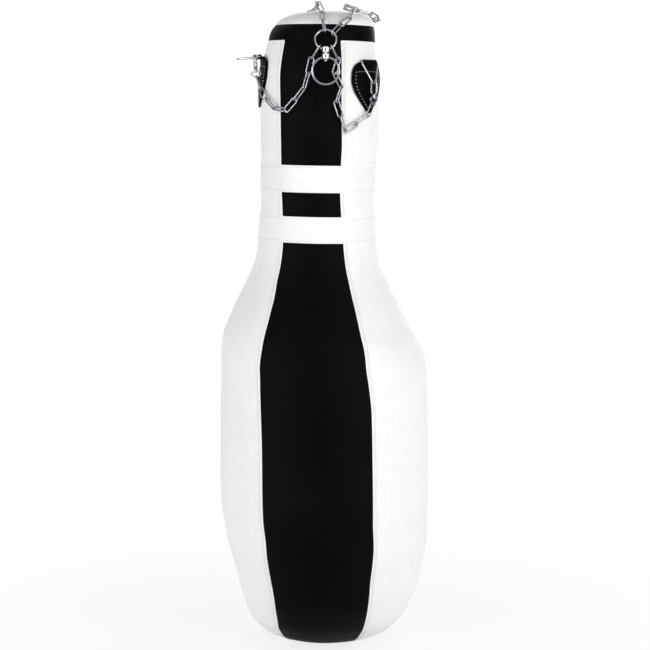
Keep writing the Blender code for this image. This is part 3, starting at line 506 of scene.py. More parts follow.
def lay_copies(model, named_places, angle):
    """Puts a copy of a plated model, its place in its mesh, where each solid is."""
    for solid, name, matrix in named_places:
        mesh = model.data.copy()
        mesh.transform(matrix)
        finish(add_object(name, mesh), "plated_steel", (solid,), angle)
    bpy.data.objects.remove(model)


# Nodes of the materials

def feed(tree, socket, value):
    """Links another node's output to a socket, or sets the socket's own value."""
    if isinstance(value, bpy.types.NodeSocket):
        tree.links.new(value, socket)
    else:
        socket.default_value = value


def node(tree, kind, place, settings=None, **inputs):
    """Adds a node at a place of the grid, sets its options and feeds its inputs."""
    made = tree.nodes.new(kind)
    made.location = (place[0] * 190, place[1] * 170)
    for key, value in (settings or {}).items():
        setattr(made, key, value)
    for key, value in inputs.items():
        feed(tree, made.inputs[key.replace("_", " ")], value)
    return made


def noise_node(tree, place, where, scale, detail, rough=0.5):
    return node(tree, 'ShaderNodeTexNoise', place, Vector=where, Scale=scale, Detail=detail,
                Roughness=rough)


def math_node(tree, place, operation, a, b):
    made = node(tree, 'ShaderNodeMath', place, {"operation": operation})
    feed(tree, made.inputs[0], a)
    feed(tree, made.inputs[1], b)
    return made.outputs[0]


def spread(tree, place, value, low, high, to_low=0.0, to_high=1.0):
    """Maps a value from one range to another, held at its ends."""
    return node(tree, 'ShaderNodeMapRange', place, {"clamp": True}, Value=value,
                From_Min=low, From_Max=high, To_Min=to_low, To_Max=to_high).outputs["Result"]


def blend(tree, place, share, first, second):
    """Mixes two colours."""
    made = node(tree, 'ShaderNodeMix', place, {"data_type": 'RGBA'})
    for index, value in ((0, share), (6, first), (7, second)):
        feed(tree, made.inputs[index], value)
    return made.outputs[2]


def tinted(values, share=1.0):
    """A colour at a share of its strength, as a socket takes it."""
    return (*(share * value for value in values), 1.0)


def effect(tree, place, name, numbers, outputs, wire, **inputs):
    """Puts a shared node group in a material. At its first use, wire makes its nodes."""
    group = bpy.data.node_groups.get(name)
    if group is None:
        group = bpy.data.node_groups.new(name, 'ShaderNodeTree')
        new_socket = group.interface.new_socket
        new_socket(name="Vector", in_out='INPUT', socket_type='NodeSocketVector')
        for label, default in numbers.items():
            new_socket(name=label, in_out='INPUT',
                       socket_type='NodeSocketFloat').default_value = default
        for label in outputs:
            new_socket(name=label, in_out='OUTPUT', socket_type='NodeSocketFloat')
        made = wire(group, node(group, 'NodeGroupInput', (-4, 0)).outputs)
        node(group, 'NodeGroupOutput', (4, 0), **made)
    return node(tree, 'ShaderNodeGroup', place, {"node_tree": group}, **inputs).outputs


def leather_grain(group, enter):
    """Pebbled grain of coated leather: height, creases between the pebbles, and tone."""
    where, pebbles = enter["Vector"], enter["Pebbles per metre"]
    warp = noise_node(group, (-3, 1), where, 60.0, 2.0)
    shift = node(group, 'ShaderNodeVectorMath', (-2, 1), {"operation": 'SCALE'},
                 Vector=warp.outputs["Color"], Scale=0.0009)
    moved = node(group, 'ShaderNodeVectorMath', (-1, 0.5), {"operation": 'ADD'}, Vector=where)
    feed(group, moved.inputs[1], shift.outputs[0])
    cells = node(group, 'ShaderNodeTexVoronoi', (0, 1), {"feature": 'DISTANCE_TO_EDGE'},
                 Vector=moved.outputs[0], Scale=pebbles)
    pebble = spread(group, (1, 1), cells.outputs["Distance"], 0.0, 0.32)
    pores = math_node(group, (-1, -1), 'MULTIPLY', pebbles, 2.2)
    fine = noise_node(group, (0, -0.5), where, pores, 3.0, 0.6)
    slack = noise_node(group, (0, -2), where, 38.0, 4.0, 0.55).outputs["Fac"]
    soft = math_node(group, (1, -2), 'MULTIPLY', slack, enter["Slackness"])
    small = math_node(group, (1, -0.5), 'MULTIPLY', fine.outputs["Fac"], 0.35)
    both = math_node(group, (2, 0.5), 'ADD', pebble, small)
    return {"Height": math_node(group, (3, 0.5), 'ADD', both, soft),
            "Crease": math_node(group, (2, 1.5), 'SUBTRACT', 1.0, pebble),
            "Tone": slack}


def handling_wear(group, enter):
    """Handling marks: broad smudges, short scuffs, and a patchy grey-brown tone towards the bottom."""
    where, amount = enter["Vector"], enter["Amount"]
    broad = noise_node(group, (-2, 2), where, 6.0, 5.0, 0.6).outputs["Fac"]
    smudge = spread(group, (-1, 2), broad, 0.52, 0.78)
    squeeze = node(group, 'ShaderNodeMapping', (-3, 0), Vector=where,
                   Scale=(1.0, 1.0, 0.22), Rotation=(0.3, 0.5, 0.0))
    marks = noise_node(group, (-2, 0), squeeze.outputs[0], 55.0, 6.0, 0.7)
    scuff = spread(group, (-1, 0), marks.outputs["Fac"], 0.66, 0.80)
    apart = node(group, 'ShaderNodeSeparateXYZ', (-2, -2), Vector=where)
    # A patchy tone that fades out by 0.10 m up: it darkens the white leather and lightens the black towards the
    # bottom.
    low = spread(group, (-1, -2), apart.outputs["Z"], 0.10, 0.0)
    dust = math_node(group, (0, -2), 'MULTIPLY', low, broad)
    return {name: math_node(group, (1, row), 'MULTIPLY', mark, amount)
            for name, row, mark in (("Smudge", 2, smudge), ("Scuff", 0, scuff),
                                    ("Dust", -2, dust))}


def plating_marks(group, enter):
    """Bright plating: fine drawn lines, dull spots and a trace of tarnish."""
    lines = noise_node(group, (-2, 1), enter["Vector"], 900.0, 3.0, 0.65)
    spots = noise_node(group, (-2, -1), enter["Vector"], 190.0, 4.0, 0.6).outputs["Fac"]
    dull = spread(group, (-1, -1), spots, 0.42, 0.72, 0.0, 0.16)
    return {"Roughness": math_node(group, (1, 0), 'ADD', enter["Roughness"], dull),
            "Height": lines.outputs["Fac"],
            "Tarnish": spread(group, (-1, -2), spots, 0.50, 0.75)}


def paint(tree, shader, body, rough, height, strength, distance):
    """Feeds a shader its colour, its roughness and the bump of a height."""
    bump = node(tree, 'ShaderNodeBump', (3, -1.5), Height=height, Strength=strength,
                Distance=distance)
    for name, value in (("Base Color", body), ("Roughness", rough),
                        ("Normal", bump.outputs[0])):
        feed(tree, shader.inputs[name], value)


def material_of(name, wire, *values):
    """The material of that name. At its first use, wire(tree, shader, where) makes it."""
    material = bpy.data.materials.get(name)
    if material is None:
        material = bpy.data.materials.new(name)
        material.use_nodes = True
        tree = material.node_tree
        tree.nodes.clear()
        shader = node(tree, 'ShaderNodeBsdfPrincipled', (5, 0))
        node(tree, 'ShaderNodeOutputMaterial', (7, 0), Surface=shader.outputs[0])
        where = node(tree, 'ShaderNodeTexCoord', (-5, 0)).outputs["Object"]
        wire(tree, shader, where, *values)
    return material


# Materials

# Grey-brown tone mixed into the leather towards the bottom.
BOTTOM_TONE_COLOUR = (0.42, 0.40, 0.36)
COAT_ROUGHNESS = 0.38
CREASE_SHADE_SHARE, SMUDGE_SHARE = 0.42, 0.30     # of their tones, at full strength; the creases' darker tone is painted shade
SCUFF_ROUGHNESS = 0.18
GRAIN_STRENGTH = 0.55


def wire_leather(tree, shader, where, base, mark, look):
    """Coated leather: pebbles with painted shade in their creases, slack undulation with painted shade in its
    dips, handling marks and a grey-brown tone towards the bottom.
    """
    grain = effect(tree, (-2, 0), "Leather grain",
                   {"Pebbles per metre": 850.0, "Slackness": 0.3},
                   ("Height", "Crease", "Tone"), leather_grain, Vector=where,
                   Pebbles_per_metre=1.0 / sizes().pebble, Slackness=look["slack"])
    marks = effect(tree, (-2, 2), "Handling wear", {"Amount": 0.5},
                   ("Smudge", "Scuff", "Dust"), handling_wear, Vector=where,
                   Amount=look["wear"])
    # The tone is the slack noise that also raises the height, so besides mottling it is painted shade: up to 4.5%
    # darker in the undulation's dips.
    tone = spread(tree, (-1, 3), grain["Tone"], 0.35, 0.68)
    crease_shade = math_node(tree, (0, 1), 'MULTIPLY', grain["Crease"], CREASE_SHADE_SHARE)
    smudged = math_node(tree, (1, 2), 'MULTIPLY', marks["Smudge"], SMUDGE_SHARE)
    # The tone towards the bottom, at the leather's share.
    bottom_toned = math_node(tree, (3, 2), 'MULTIPLY', marks["Dust"], look["dust"])
    body = blend(tree, (0, 3), tone, tinted(base, 0.955), tinted(base))
    # Painted shade: the creases between the pebbles are painted down to 0.86 of the base colour.
    for column, share, tint in ((1, crease_shade, tinted(base, 0.86)), (2, smudged, tinted(mark)),
                                (3, marks["Scuff"], tinted(mark)),
                                (4, bottom_toned, tinted(BOTTOM_TONE_COLOUR))):
        body = blend(tree, (column, 3), share, body, tint)
    surface = spread(tree, (1, 0), grain["Crease"], 0.0, 1.0, look["rough"], look["creases"])
    scuffed = math_node(tree, (2, 0), 'MULTIPLY', marks["Scuff"], SCUFF_ROUGHNESS)
    surface = math_node(tree, (3, 0), 'ADD', surface, scuffed)
    paint(tree, shader, body, surface, grain["Height"], GRAIN_STRENGTH, look["depth"])
    shader.inputs["Coat Weight"].default_value = look["coat"]
    shader.inputs["Coat Roughness"].default_value = COAT_ROUGHNESS
    shader.inputs["Specular IOR Level"].default_value = look["specular"]


def white_leather():
    return material_of("white_coated_leather", wire_leather, colours().white, colours().grime,
                       {"rough": 0.40, "creases": 0.58, "coat": 0.06, "specular": 0.40,
                        "depth": 0.00022, "slack": 0.9, "wear": 0.28, "dust": 0.5})


def black_leather():
    return material_of("black_coated_leather", wire_leather, colours().black, colours().scuff,
                       {"rough": 0.34, "creases": 0.60, "coat": 0.0, "specular": 0.035,
                        "depth": 0.00026, "slack": 1.1, "wear": 0.45, "dust": 0.08})


def wire_thread(tree, shader, where, tint):
    """Twisted sewing thread: slanting plies with painted shade in the grooves between them, and a soft sheen."""
    plies = node(tree, 'ShaderNodeTexWave', (-2, 0), {"bands_direction": 'DIAGONAL'},
                 Vector=where, Scale=420.0, Distortion=1.5).outputs["Fac"]
    fuzz = noise_node(tree, (-2, -2), where, 1600.0, 2.0).outputs["Fac"]
    # Painted shade: the wave's low bands, the grooves between the plies, are painted down to 0.62 of the thread's
    # colour.
    body = blend(tree, (1, 1), plies, tinted(tint, 0.62), tinted(tint))
    paint(tree, shader, body, spread(tree, (1, -1), fuzz, 0.3, 0.7, 0.62, 0.82), plies,
          0.6, 0.00012)


def wire_welt(tree, shader, where):
    """Smooth extruded vinyl welt, a little glossier than the leather."""
    tone = noise_node(tree, (-2, 0), where, 140.0, 3.0).outputs["Fac"]
    tint = [min(1.06 * value, 1.0) for value in colours().white]
    # The tone is the noise that also makes the welt's bump, so besides mottling it is painted shade: up to 7%
    # darker in the bump's dips.
    body = blend(tree, (1, 1), tone, tinted(tint, 0.93), tinted(tint))
    paint(tree, shader, body, spread(tree, (1, -1), tone, 0.3, 0.7, 0.26, 0.40), tone,
          0.3, 0.0001)


def wire_plating(tree, shader, where, tint, rough, dark):
    """Bright zinc plating with drawn lines, dull spots and a trace of tarnish."""
    marks = effect(tree, (-2, 0), "Plating marks", {"Roughness": 0.2},
                   ("Roughness", "Height", "Tarnish"), plating_marks, Vector=where,
                   Roughness=rough)
    share = math_node(tree, (0, 1), 'MULTIPLY', marks["Tarnish"], dark)
    body = blend(tree, (2, 1), share, tinted(tint), tinted(tint, 0.55))
    paint(tree, shader, body, marks["Roughness"], marks["Height"], 0.25, 0.00006)
    shader.inputs["Metallic"].default_value = 1.0


def plated_steel():
    # The plating's colour is darkened as painted shade for the dark surroundings that the wires mirror.
    return material_of("bright_zinc_plating", wire_plating, colours().steel, 0.14, 0.5)


def swivel_steel():
    return material_of("polished_swivel_plating", wire_plating, colours().barrel, 0.12, 0.35)


FINISHES = {"white_leather": white_leather, "black_leather": black_leather,
            "plated_steel": plated_steel, "swivel_steel": swivel_steel}


# Sewing

def stitch_model(weight):
    """One stitch: a short thread with rounded ends, its length on X."""
    obj = primitive("stitch_model", bpy.ops.mesh.primitive_uv_sphere_add, segments=6,
                    ring_count=5, radius=0.5, rotation=(0, math.radians(90), 0))
    thread = sizes().thread * weight
    with editing(obj):
        bpy.ops.transform.resize(value=(sizes().stitch, thread, thread * 0.8))
        pick(obj, lambda co: abs(co.x) > sizes().stitch * 0.42)
        bpy.ops.transform.translate(value=(0, 0, -thread * 0.35))
    return obj


def sew(name, runs, slot, thread, tint, weight=1.0):
    """Rows of stitches along runs of (point, normal) pairs, as one piece."""
    model = stitch_model(weight)
    bm = bmesh.new()
    pitch = sizes().stitch + sizes().stitch_gap * weight ** 2
    for run in runs:
        points = [p for p, _ in run]
        total = sum((b - a).length for a, b in zip(points, points[1:]))
        spacing = total / max(int(total / pitch), 1)
        travelled, index, target = 0.0, 0, spacing / 2
        while index < len(points) - 1 and target < total:
            a, b = points[index], points[index + 1]
            step = (b - a).length
            if travelled + step < target:
                travelled += step
                index += 1
                continue
            t = (target - travelled) / max(step, 1e-9)
            normal = run[index][1].lerp(run[index + 1][1], t).normalized()
            along = (b - a).normalized()
            along = (along - normal * along.dot(normal)).normalized()
            before = len(bm.verts)
            bm.from_mesh(model.data)
            bm.verts.ensure_lookup_table()
            place = frame_matrix(a.lerp(b, t), along, normal.cross(along), normal)
            bmesh.ops.transform(bm, verts=bm.verts[before:], matrix=place)
            target += spacing
    bpy.data.objects.remove(model)
    finish(object_of(bm, name), slot, angle=80,
           material=material_of(thread, wire_thread, tint))


def on_run(azimuth, z, standoff):
    return on_bag(azimuth, z, standoff), bag_normal(azimuth, z)


def round_run(z, standoff, steps=160):
    """Line round the bag beside a seam across it."""
    turns = [360.0 * i / steps for i in range(steps + 1)]
    return [on_run(azimuth, across(azimuth, z), standoff) for azimuth in turns]


def upright_run(seam, away, low, high, standoff, steps=240):
    """Line up the bag beside a seam: seam(z) is its azimuth, and away runs with azimuth."""
    heights = [low + (high - low) * i / steps for i in range(steps + 1)]
    return [on_run(seam(z) + math.degrees(away / bag_radius(z)), z, standoff)
            for z in heights]


# Cover

STRIPE_INNER = 11                   # faces across the stripe, between its close columns
SIDE_INNER = 54                     # faces round the side panels, likewise
CLOSE_COLUMNS = (0.0022, 0.0060)    # how far the close columns lie from a seam
LEFT_SEAM = 0                       # columns of the seams
RIGHT_SEAM = STRIPE_INNER + 4
BACK_COLUMN = RIGHT_SEAM + SIDE_INNER // 2 + 4
SEAM_REACH = 0.0026                 # how far a seam pulls the cover in beside it
BAND_SEAM_REACH = 0.0024
BACK_SHARE, BAND_SHARE = 0.6, 0.55  # their pull beside that of the stripe's seams
FOOT_ROWS = [0.0, 0.0008, 0.0022, 0.0045, 0.0075, 0.0115, 0.0165, 0.0225, 0.030, 0.038]
FIRST_OPEN_ROW = 0.047
BELLY_PITCH, NECK_PITCH = 0.0105, 0.0085
NECK_START = 0.80
CAP_ROWS = 17
COVER_PIECES = (
    ("side_panels_leather", "white_leather", ("side_panels", "filling")),
    ("front_stripe_leather", "black_leather", ("front_stripe",)),
    ("top_band_leather", "black_leather", ("top_band",)),
    ("top_cap_leather", "white_leather", ("top_cap",)),
)
SIDES, STRIPE, BAND, CAP = range(4)
# The leather under pressure, and where its room to swell grows and ends
CLOTH = {"quality": 5, "mass": 0.35, "tension_stiffness": 22, "compression_stiffness": 14,
         "shear_stiffness": 9, "bending_stiffness": 1.6, "use_pressure": True,
         "uniform_pressure_force": 4.0, "vertex_group_mass": "sewn"}
PRESSURE_FRAMES = 20
EVENING_ROUNDS = 4
SWELL_START_Z, SWELL_GROWTH = 0.01, 0.06
SWELL_FADE_Z, SWELL_FADE = 0.62, 0.30
FOOT_INSET = 0.0028
FOOT_THICKNESS = 0.0022
FOOT_MIDDLE_Z = 0.0012
FOOT_EDGE = 0.0006


def cover_rows():
    """Heights of the cover's rows, close together at the seams across the bag."""
    rows = list(FOOT_ROWS)
    z = FIRST_OPEN_ROW
    while z < BAND_LOW_Z - NECK_PITCH:
        rows.append(z)
        z += BELLY_PITCH if z < NECK_START else NECK_PITCH
    rows += [BAND_LOW_Z - d for d in (0.0075, 0.0045, 0.0022, 0.0, -0.0022)]
    span = BAND_HIGH_Z - BAND_LOW_Z
    rows += [BAND_LOW_Z + span * share for share in (0.18, 0.34, 0.5, 0.66, 0.82)]
    rows += [BAND_HIGH_Z - 0.0020, BAND_HIGH_Z]
    crown = BAG_HEIGHT - BAND_HIGH_Z
    rows += [BAND_HIGH_Z + crown * (1 - (1 - i / CAP_ROWS) ** 2.1) for i in range(1, CAP_ROWS)]
    return rows


def cover_columns(z):
    """Azimuths round the bag: close together at the stripe's seams and the back seam."""
    left, right = stripe_edges(z)
    reach = max(bag_radius(z), 0.012)
    limit = (right - left) / 5
    close, wide = (min(math.degrees(d / reach), limit * (i + 1) / 2)
                   for i, d in enumerate(CLOSE_COLUMNS))

    def between(first, last, count):
        return [first + (last - first) * i / count for i in range(count + 1)]

    half = SIDE_INNER // 2
    return [left, left + close, *between(left + wide, right - wide, STRIPE_INNER),
            right - close, right, right + close,
            *between(right + wide, BACK_SEAM - wide, half),
            BACK_SEAM - close, BACK_SEAM, BACK_SEAM + close,
            *between(BACK_SEAM + wide, left + 360.0 - wide, half), left + 360.0 - close]


BELLY_LUMPS, BELLY_DIMPLES = 0.0011, 0.0005
NECK_LUMPS = 0.00022
TUCK_Z, FOOT_TUCK = 0.012, 0.0010   # the cover's lowest part turns in under the foot


def stuffed_relief(azimuth, z):
    """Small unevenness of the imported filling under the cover, in metres."""
    point = on_bag(azimuth, z)
    broad = noise.noise(point * 7.0 + Vector((3.1, 0.4, 1.7)))
    small = noise.noise(point * 19.0 + Vector((0.2, 5.3, 2.2)))
    belly = 1.0 - smooth_step(0.70, 0.98, z)
    return (belly * (BELLY_LUMPS * broad + BELLY_DIMPLES * small)
            + (1 - belly) * NECK_LUMPS * (broad - 0.6))


def seam_pull(distance, reach=SEAM_REACH):
    """How strongly a seam pulls the cover in at a distance from it."""
    return math.exp(-(distance / reach) ** 2)


def pull_at(azimuth, z, angles):
    """How strongly all the seams pull at a point, from 0 to 1."""
    def apart(seam):
        return abs(math.radians(azimuth - seam)) * bag_radius(z)

    left = min(apart(angles[LEFT_SEAM]), apart(360 + angles[LEFT_SEAM]))
    upright = max(seam_pull(left), seam_pull(apart(angles[RIGHT_SEAM])),
                  BACK_SHARE * seam_pull(apart(angles[BACK_COLUMN])))
    upright *= 1.0 - smooth_step(BAND_LOW_Z - 0.004, BAND_LOW_Z + 0.004, z)
    level = seam_pull(min(abs(z - BAND_LOW_Z), abs(z - BAND_HIGH_Z)), BAND_SEAM_REACH)
    return max(upright, BAND_SHARE * level)


def panel_at(z, column):
    if z > BAND_HIGH_Z:
        return CAP
    if z > BAND_LOW_Z:
        return BAND
    return STRIPE if column < RIGHT_SEAM else SIDES


def cover_shell():
    """The sewn cover as one closed shell, its seams marked with a vertex group."""
    size = sizes()
    bm = bmesh.new()
    rows, grid, sewn = cover_rows(), [], []
    for z in rows:
        ease = size.belly_ease + (size.neck_ease - size.belly_ease) * smooth_step(0.85, 1.0, z)
        angles = cover_columns(z)
        line = []
        for azimuth in angles:
            pull = pull_at(azimuth, z, angles)
            depth = -ease + stuffed_relief(azimuth, z) * (1 - pull) - size.seam_depth * pull
            if z < TUCK_Z:
                depth -= FOOT_TUCK * (1 - z / TUCK_Z)
            line.append(bm.verts.new(on_bag(azimuth, top_seam(azimuth, z), depth)))
            if pull > 0.5 or z < 0.003:
                sewn.append(line[-1])
        grid.append(line)
    for vert in grid[0]:
        vert.co.z = 0.0
    count = len(grid[0])
    for row, (low, high) in enumerate(zip(grid, grid[1:])):
        for i in range(count):
            face = bm.faces.new([low[i], low[(i + 1) % count], high[(i + 1) % count], high[i]])
            face.material_index = panel_at((rows[row] + rows[row + 1]) / 2, i)
    top = bm.verts.new(on_bag(0, BAG_HEIGHT, -size.neck_ease))
    for i in range(count):
        bm.faces.new([grid[-1][i], grid[-1][(i + 1) % count], top]).material_index = CAP
    bmesh.ops.recalc_face_normals(bm, faces=bm.faces)
    bm.verts.index_update()
    marks = [vert.index for vert in sewn]
    obj = object_of(bm, "cover")
    obj.vertex_groups.new(name="sewn").add(marks, 1.0, 'REPLACE')
    for index in range(len(COVER_PIECES)):
        obj.data.materials.append(bpy.data.materials.new("panel_%d" % index))
    return obj


def press_cover(obj):
    """Lets the stuffing's pressure move the cloth, held at its sewn seams."""
    take(obj)
    cloth = obj.modifiers.new("stuffing", 'CLOTH')
    for key, value in CLOTH.items():
        setattr(cloth.settings, key, value)
    cloth.settings.effector_weights.gravity = 0.0
    cloth.collision_settings.use_collision = False
    for step in range(PRESSURE_FRAMES):
        bpy.context.scene.frame_set(step + 1)
    bpy.ops.object.modifier_apply(modifier=cloth.name)
    bpy.context.scene.frame_set(1)


def swell_cover(obj):
    """The leather swells between its seams, evened out and kept within its room."""
    mesh = obj.data
    rest = coordinates(mesh)
    press_cover(obj)
    move = coordinates(mesh) - rest
    edges = np.empty(len(mesh.edges) * 2, dtype=np.int64)
    mesh.edges.foreach_get("vertices", edges)
    edges = edges.reshape(-1, 2)
    held = np.array([bool(vert.groups) for vert in mesh.vertices])
    for _ in range(EVENING_ROUNDS):
        total, links = np.zeros_like(move), np.zeros(len(move))
        for a, b in ((0, 1), (1, 0)):
            np.add.at(total, edges[:, a], move[edges[:, b]])
            np.add.at(links, edges[:, a], 1)
        even = 0.5 * move + 0.5 * total / links[:, None]
        move = np.where(held[:, None], move, even)
    far = np.linalg.norm(move, axis=1)
    height = rest[:, 2]
    room = sizes().swell * (1 - np.clip((height - SWELL_FADE_Z) / SWELL_FADE, 0, 1))
    room = room * np.clip((height - SWELL_START_Z) / SWELL_GROWTH, 0, 1)
    allowed = room * np.tanh(far / np.maximum(room, 1e-6))
    share = np.where(far > 1e-9, allowed / np.maximum(far, 1e-9), 0.0)
    mesh.vertices.foreach_set("co", (rest + move * share[:, None]).ravel())
    mesh.update()


class BAG_OT_cover(bpy.types.Operator):
    """Sews the cover, swells it over the stuffing and parts it into its panels"""
    bl_idname = "bag.cover"
    bl_label = "Leather cover"

    def execute(self, context):
        obj = cover_shell()
        swell_cover(obj)
        modify(obj, 'SUBSURF', levels=1, render_levels=1)
        with editing(obj):
            bpy.ops.mesh.separate(type='MATERIAL')
        parts = [o for o in context.selected_objects if o.type == 'MESH']
        if len(parts) != len(COVER_PIECES):
            raise RuntimeError("the cover parted into %d panels" % len(parts))
        for part in parts:
            used = part.data.materials[part.data.polygons[0].material_index].name
            part.name, slot, nodes = COVER_PIECES[int(used.split("_")[1])]
            part.vertex_groups.clear()
            modify(part, 'SOLIDIFY', thickness=sizes().leather, offset=-1.0)
            finish(part, slot, nodes, 50)
        return {'FINISHED'}


class BAG_OT_foot(bpy.types.Operator):
    """Makes the round foot panel with its turned edge"""
    bl_idname = "bag.foot"
    bl_label = "Foot panel"

    def execute(self, context):
        obj = primitive("foot_panel", bpy.ops.mesh.primitive_cylinder_add, vertices=96,
                        radius=FOOT_RADIUS - FOOT_INSET, depth=FOOT_THICKNESS,
                        location=(bag_lean(0), 0, FOOT_MIDDLE_Z))
        modify(obj, 'BEVEL', width=FOOT_EDGE, segments=2, limit_method='ANGLE')
        finish(obj, "white_leather", ("foot_disc",))
        return {'FINISHED'}


# Seams, welts and bands

THREAD_SINK = 0.00015       # how deep the thread lies in the leather
TOPSTITCH = 0.0058          # from a seam up the bag to the stitching beside it
BAND_STITCH = 0.0042        # from a neck band's edge to its stitching
CAP_STITCH = 0.0044         # from the cap's seam to its stitching
NECK_BAND_THICKNESS = 0.0016
NECK_BAND_STANDOFF = 0.00095
NECK_BAND_SWELL = 0.0003    # of its middle
NECK_BAND_GROOVE = 0.00045  # under its stitching
NECK_BAND_EDGE = 0.0011     # width of the rounded edge, and half the groove's
NECK_BAND_DROP = 0.0006     # of the edge
NECK_BAND_RIPPLE = 0.00015
NECK_BAND_ROWS = [0, 0.018, 0.05, 0.075, 0.10, 0.2, 0.35, 0.5, 0.65, 0.8, 0.9, 0.925, 0.95,
                  0.982, 1.0]
BAND_THREAD_STANDOFF = 0.00075
STITCH_ENDS = (0.012, BAND_LOW_Z - 0.010)
WELT_ENDS = (0.003, BAND_LOW_Z - 0.0065)
WELT_SINK = 0.0007          # how deep the top of the welt lies under the outline


class BAG_OT_neck_bands(bpy.types.Operator):
    """Wraps the two white bands round the neck, with rounded edges"""
    bl_idname = "bag.neck_bands"
    bl_label = "Neck bands"

    def execute(self, context):
        last = len(NECK_BAND_ROWS) - 1
        for place, (low, high) in NECK_BANDS.items():
            obj = primitive("neck_band_%s_leather" % place,
                            bpy.ops.mesh.primitive_cylinder_add, vertices=128, radius=0.1,
                            depth=1.0, end_fill_type='NOTHING')
            with editing(obj):
                bpy.ops.mesh.subdivide_edgering(number_cuts=last - 1, interpolation='LINEAR')
            for vert in obj.data.vertices:
                share = NECK_BAND_ROWS[min(int(round((vert.co.z + 0.5) * last)), last)]
                azimuth = math.degrees(math.atan2(vert.co.x, -vert.co.y))
                z = across(azimuth, low + (high - low) * share)
                edge = min(share, 1 - share) * (high - low)
                crown = NECK_BAND_SWELL * math.sin(math.pi * share)
                sewn = NECK_BAND_GROOVE * seam_pull(edge - BAND_STITCH, NECK_BAND_EDGE)
                rounded = -NECK_BAND_DROP * max(0.0, 1 - edge / NECK_BAND_EDGE) ** 2
                ripple = NECK_BAND_RIPPLE * noise.noise(on_bag(azimuth, z) * 40)
                standoff = NECK_BAND_STANDOFF + crown - sewn + rounded + ripple
                vert.co = on_bag(azimuth, z, standoff)
            modify(obj, 'SOLIDIFY', thickness=NECK_BAND_THICKNESS, offset=-1.0)
            finish(obj, "white_leather", ("neck_band_%s" % place,), 50)
        return {'FINISHED'}


def stripe_seam(side):
    return lambda z: stripe_edges(z)[side]


class BAG_OT_welts(bpy.types.Operator):
    """Lays the white welts into the stripe's two seams"""
    bl_idname = "bag.welts"
    bl_label = "Seam welts"

    def execute(self, context):
        radius = sizes().welt / 2
        for side, name in enumerate(("left", "right")):
            clear_selection()
            bpy.ops.curve.primitive_nurbs_path_add()
            obj = context.object
            obj.name = "stripe_welt_" + name
            curve = obj.data
            curve.splines.clear()
            run = upright_run(stripe_seam(side), 0.0, *WELT_ENDS, -radius - WELT_SINK)
            spline = curve.splines.new('POLY')
            spline.points.add(len(run) - 1)
            for target, (point, _) in zip(spline.points, run):
                target.co = (*point, 1.0)
            curve.dimensions = '3D'
            curve.bevel_depth = radius
            curve.bevel_resolution = 3
            curve.use_fill_caps = True
            take(obj)
            bpy.ops.object.convert(target='MESH')
            finish(context.object, "white_leather",
                   material=material_of("white_vinyl_welt", wire_welt))
        return {'FINISHED'}


class BAG_OT_seam_stitching(bpy.types.Operator):
    """Sews the rows of topstitching along the stripe, the bands and the back seam"""
    bl_idname = "bag.seam_stitching"
    bl_label = "Seam stitching"

    def execute(self, context):
        depth = -sizes().neck_ease - THREAD_SINK
        rows = {"panel_stitching": [
            upright_run(seam, away, *STITCH_ENDS, depth)
            for seam, away in ((stripe_seam(0), -TOPSTITCH), (stripe_seam(1), TOPSTITCH),
                               (lambda z: BACK_SEAM, -TOPSTITCH),
                               (lambda z: BACK_SEAM, TOPSTITCH))]}
        for place, (low, high) in NECK_BANDS.items():
            rows["neck_band_%s_stitching" % place] = [
                round_run(z, BAND_THREAD_STANDOFF)
                for z in (low + BAND_STITCH, high - BAND_STITCH)]
        rows["cap_stitching"] = [round_run(BAND_HIGH_Z + TOP_SEAM_SHIFT + CAP_STITCH, depth)]
        for name, runs in rows.items():
            sew(name, runs, "white_leather", "white_sewing_thread", colours().white_thread)
        return {'FINISHED'}


# Hanging patches

PATCH_AZIMUTHS = {"front_right": 50.0, "front_left": -81.0,
                  "rear_right": 126.0, "rear_left": -157.0}
PATCH_TOPS = {"front_right": 1.1933, "front_left": 1.2053,
              "rear_right": 1.1933, "rear_left": 1.1933}
PATCH_HEIGHT = 0.1010
PATCH_HALF_ANGLE = 20.5
PATCH_HALF = Curve([(0, 0.60), (0.07, 0.84), (0.2, 0.97), (0.36, 1.0), (0.55, 0.87),
                    (0.75, 0.57), (0.9, 0.27), (1, 0.04)])
PATCH_STANDOFF = 0.0031
PATCH_THICKNESS = 0.0030
RAISED_FOLD = 0.005         # how far the raised ring pulls its fold out
RAISED_SHARE = 0.16         # share of the patch that it lifts
FOLD_HALF = 0.0188          # half the fold's width along the ring's bar
FOLD_OUTER, FOLD_INNER = 0.0050, 0.0028
PATCH_INSET = 0.19          # from the patch's edge to its stitching, as a share
STITCH_TOP, STITCH_TIP = 0.19, 0.90
PATCH_STITCH_STANDOFF = 0.0032
PATCH_STITCH_WEIGHT = 1.5


def patch_point(corner, u, share, standoff):
    """Point of a patch: u from -1 to 1 across it, share from its fold to its tip."""
    z = PATCH_TOPS[corner] - PATCH_HEIGHT * share
    azimuth = PATCH_AZIMUTHS[corner] + u * PATCH_HALF_ANGLE * PATCH_HALF(share)
    raised = RAISED_FOLD if corner == "front_left" else 0.0
    lift = raised * max(0.0, 1 - share / RAISED_SHARE) ** 1.5
    return on_run(azimuth, z, standoff + lift)


def leather_wall(obj, thickness, edge):
    """Gives a sheet of leather its thickness and rounds its edges."""
    modify(obj, 'SOLIDIFY', thickness=thickness, offset=-1.0)
    modify(obj, 'BEVEL', width=edge, segments=2, limit_method='ANGLE',
           angle_limit=math.radians(50))


def patch_flap(corner):
    """The flap that lies on the bag, from its fold to its tip."""
    obj = primitive("flap", bpy.ops.mesh.primitive_grid_add, x_subdivisions=22,
                    y_subdivisions=34, size=2.0)
    for vert in obj.data.vertices:
        share = ((1 - vert.co.y) / 2) ** 0.92
        vert.co = patch_point(corner, vert.co.x, share, PATCH_STANDOFF)[0]
    leather_wall(obj, PATCH_THICKNESS, 0.0007)
    return obj


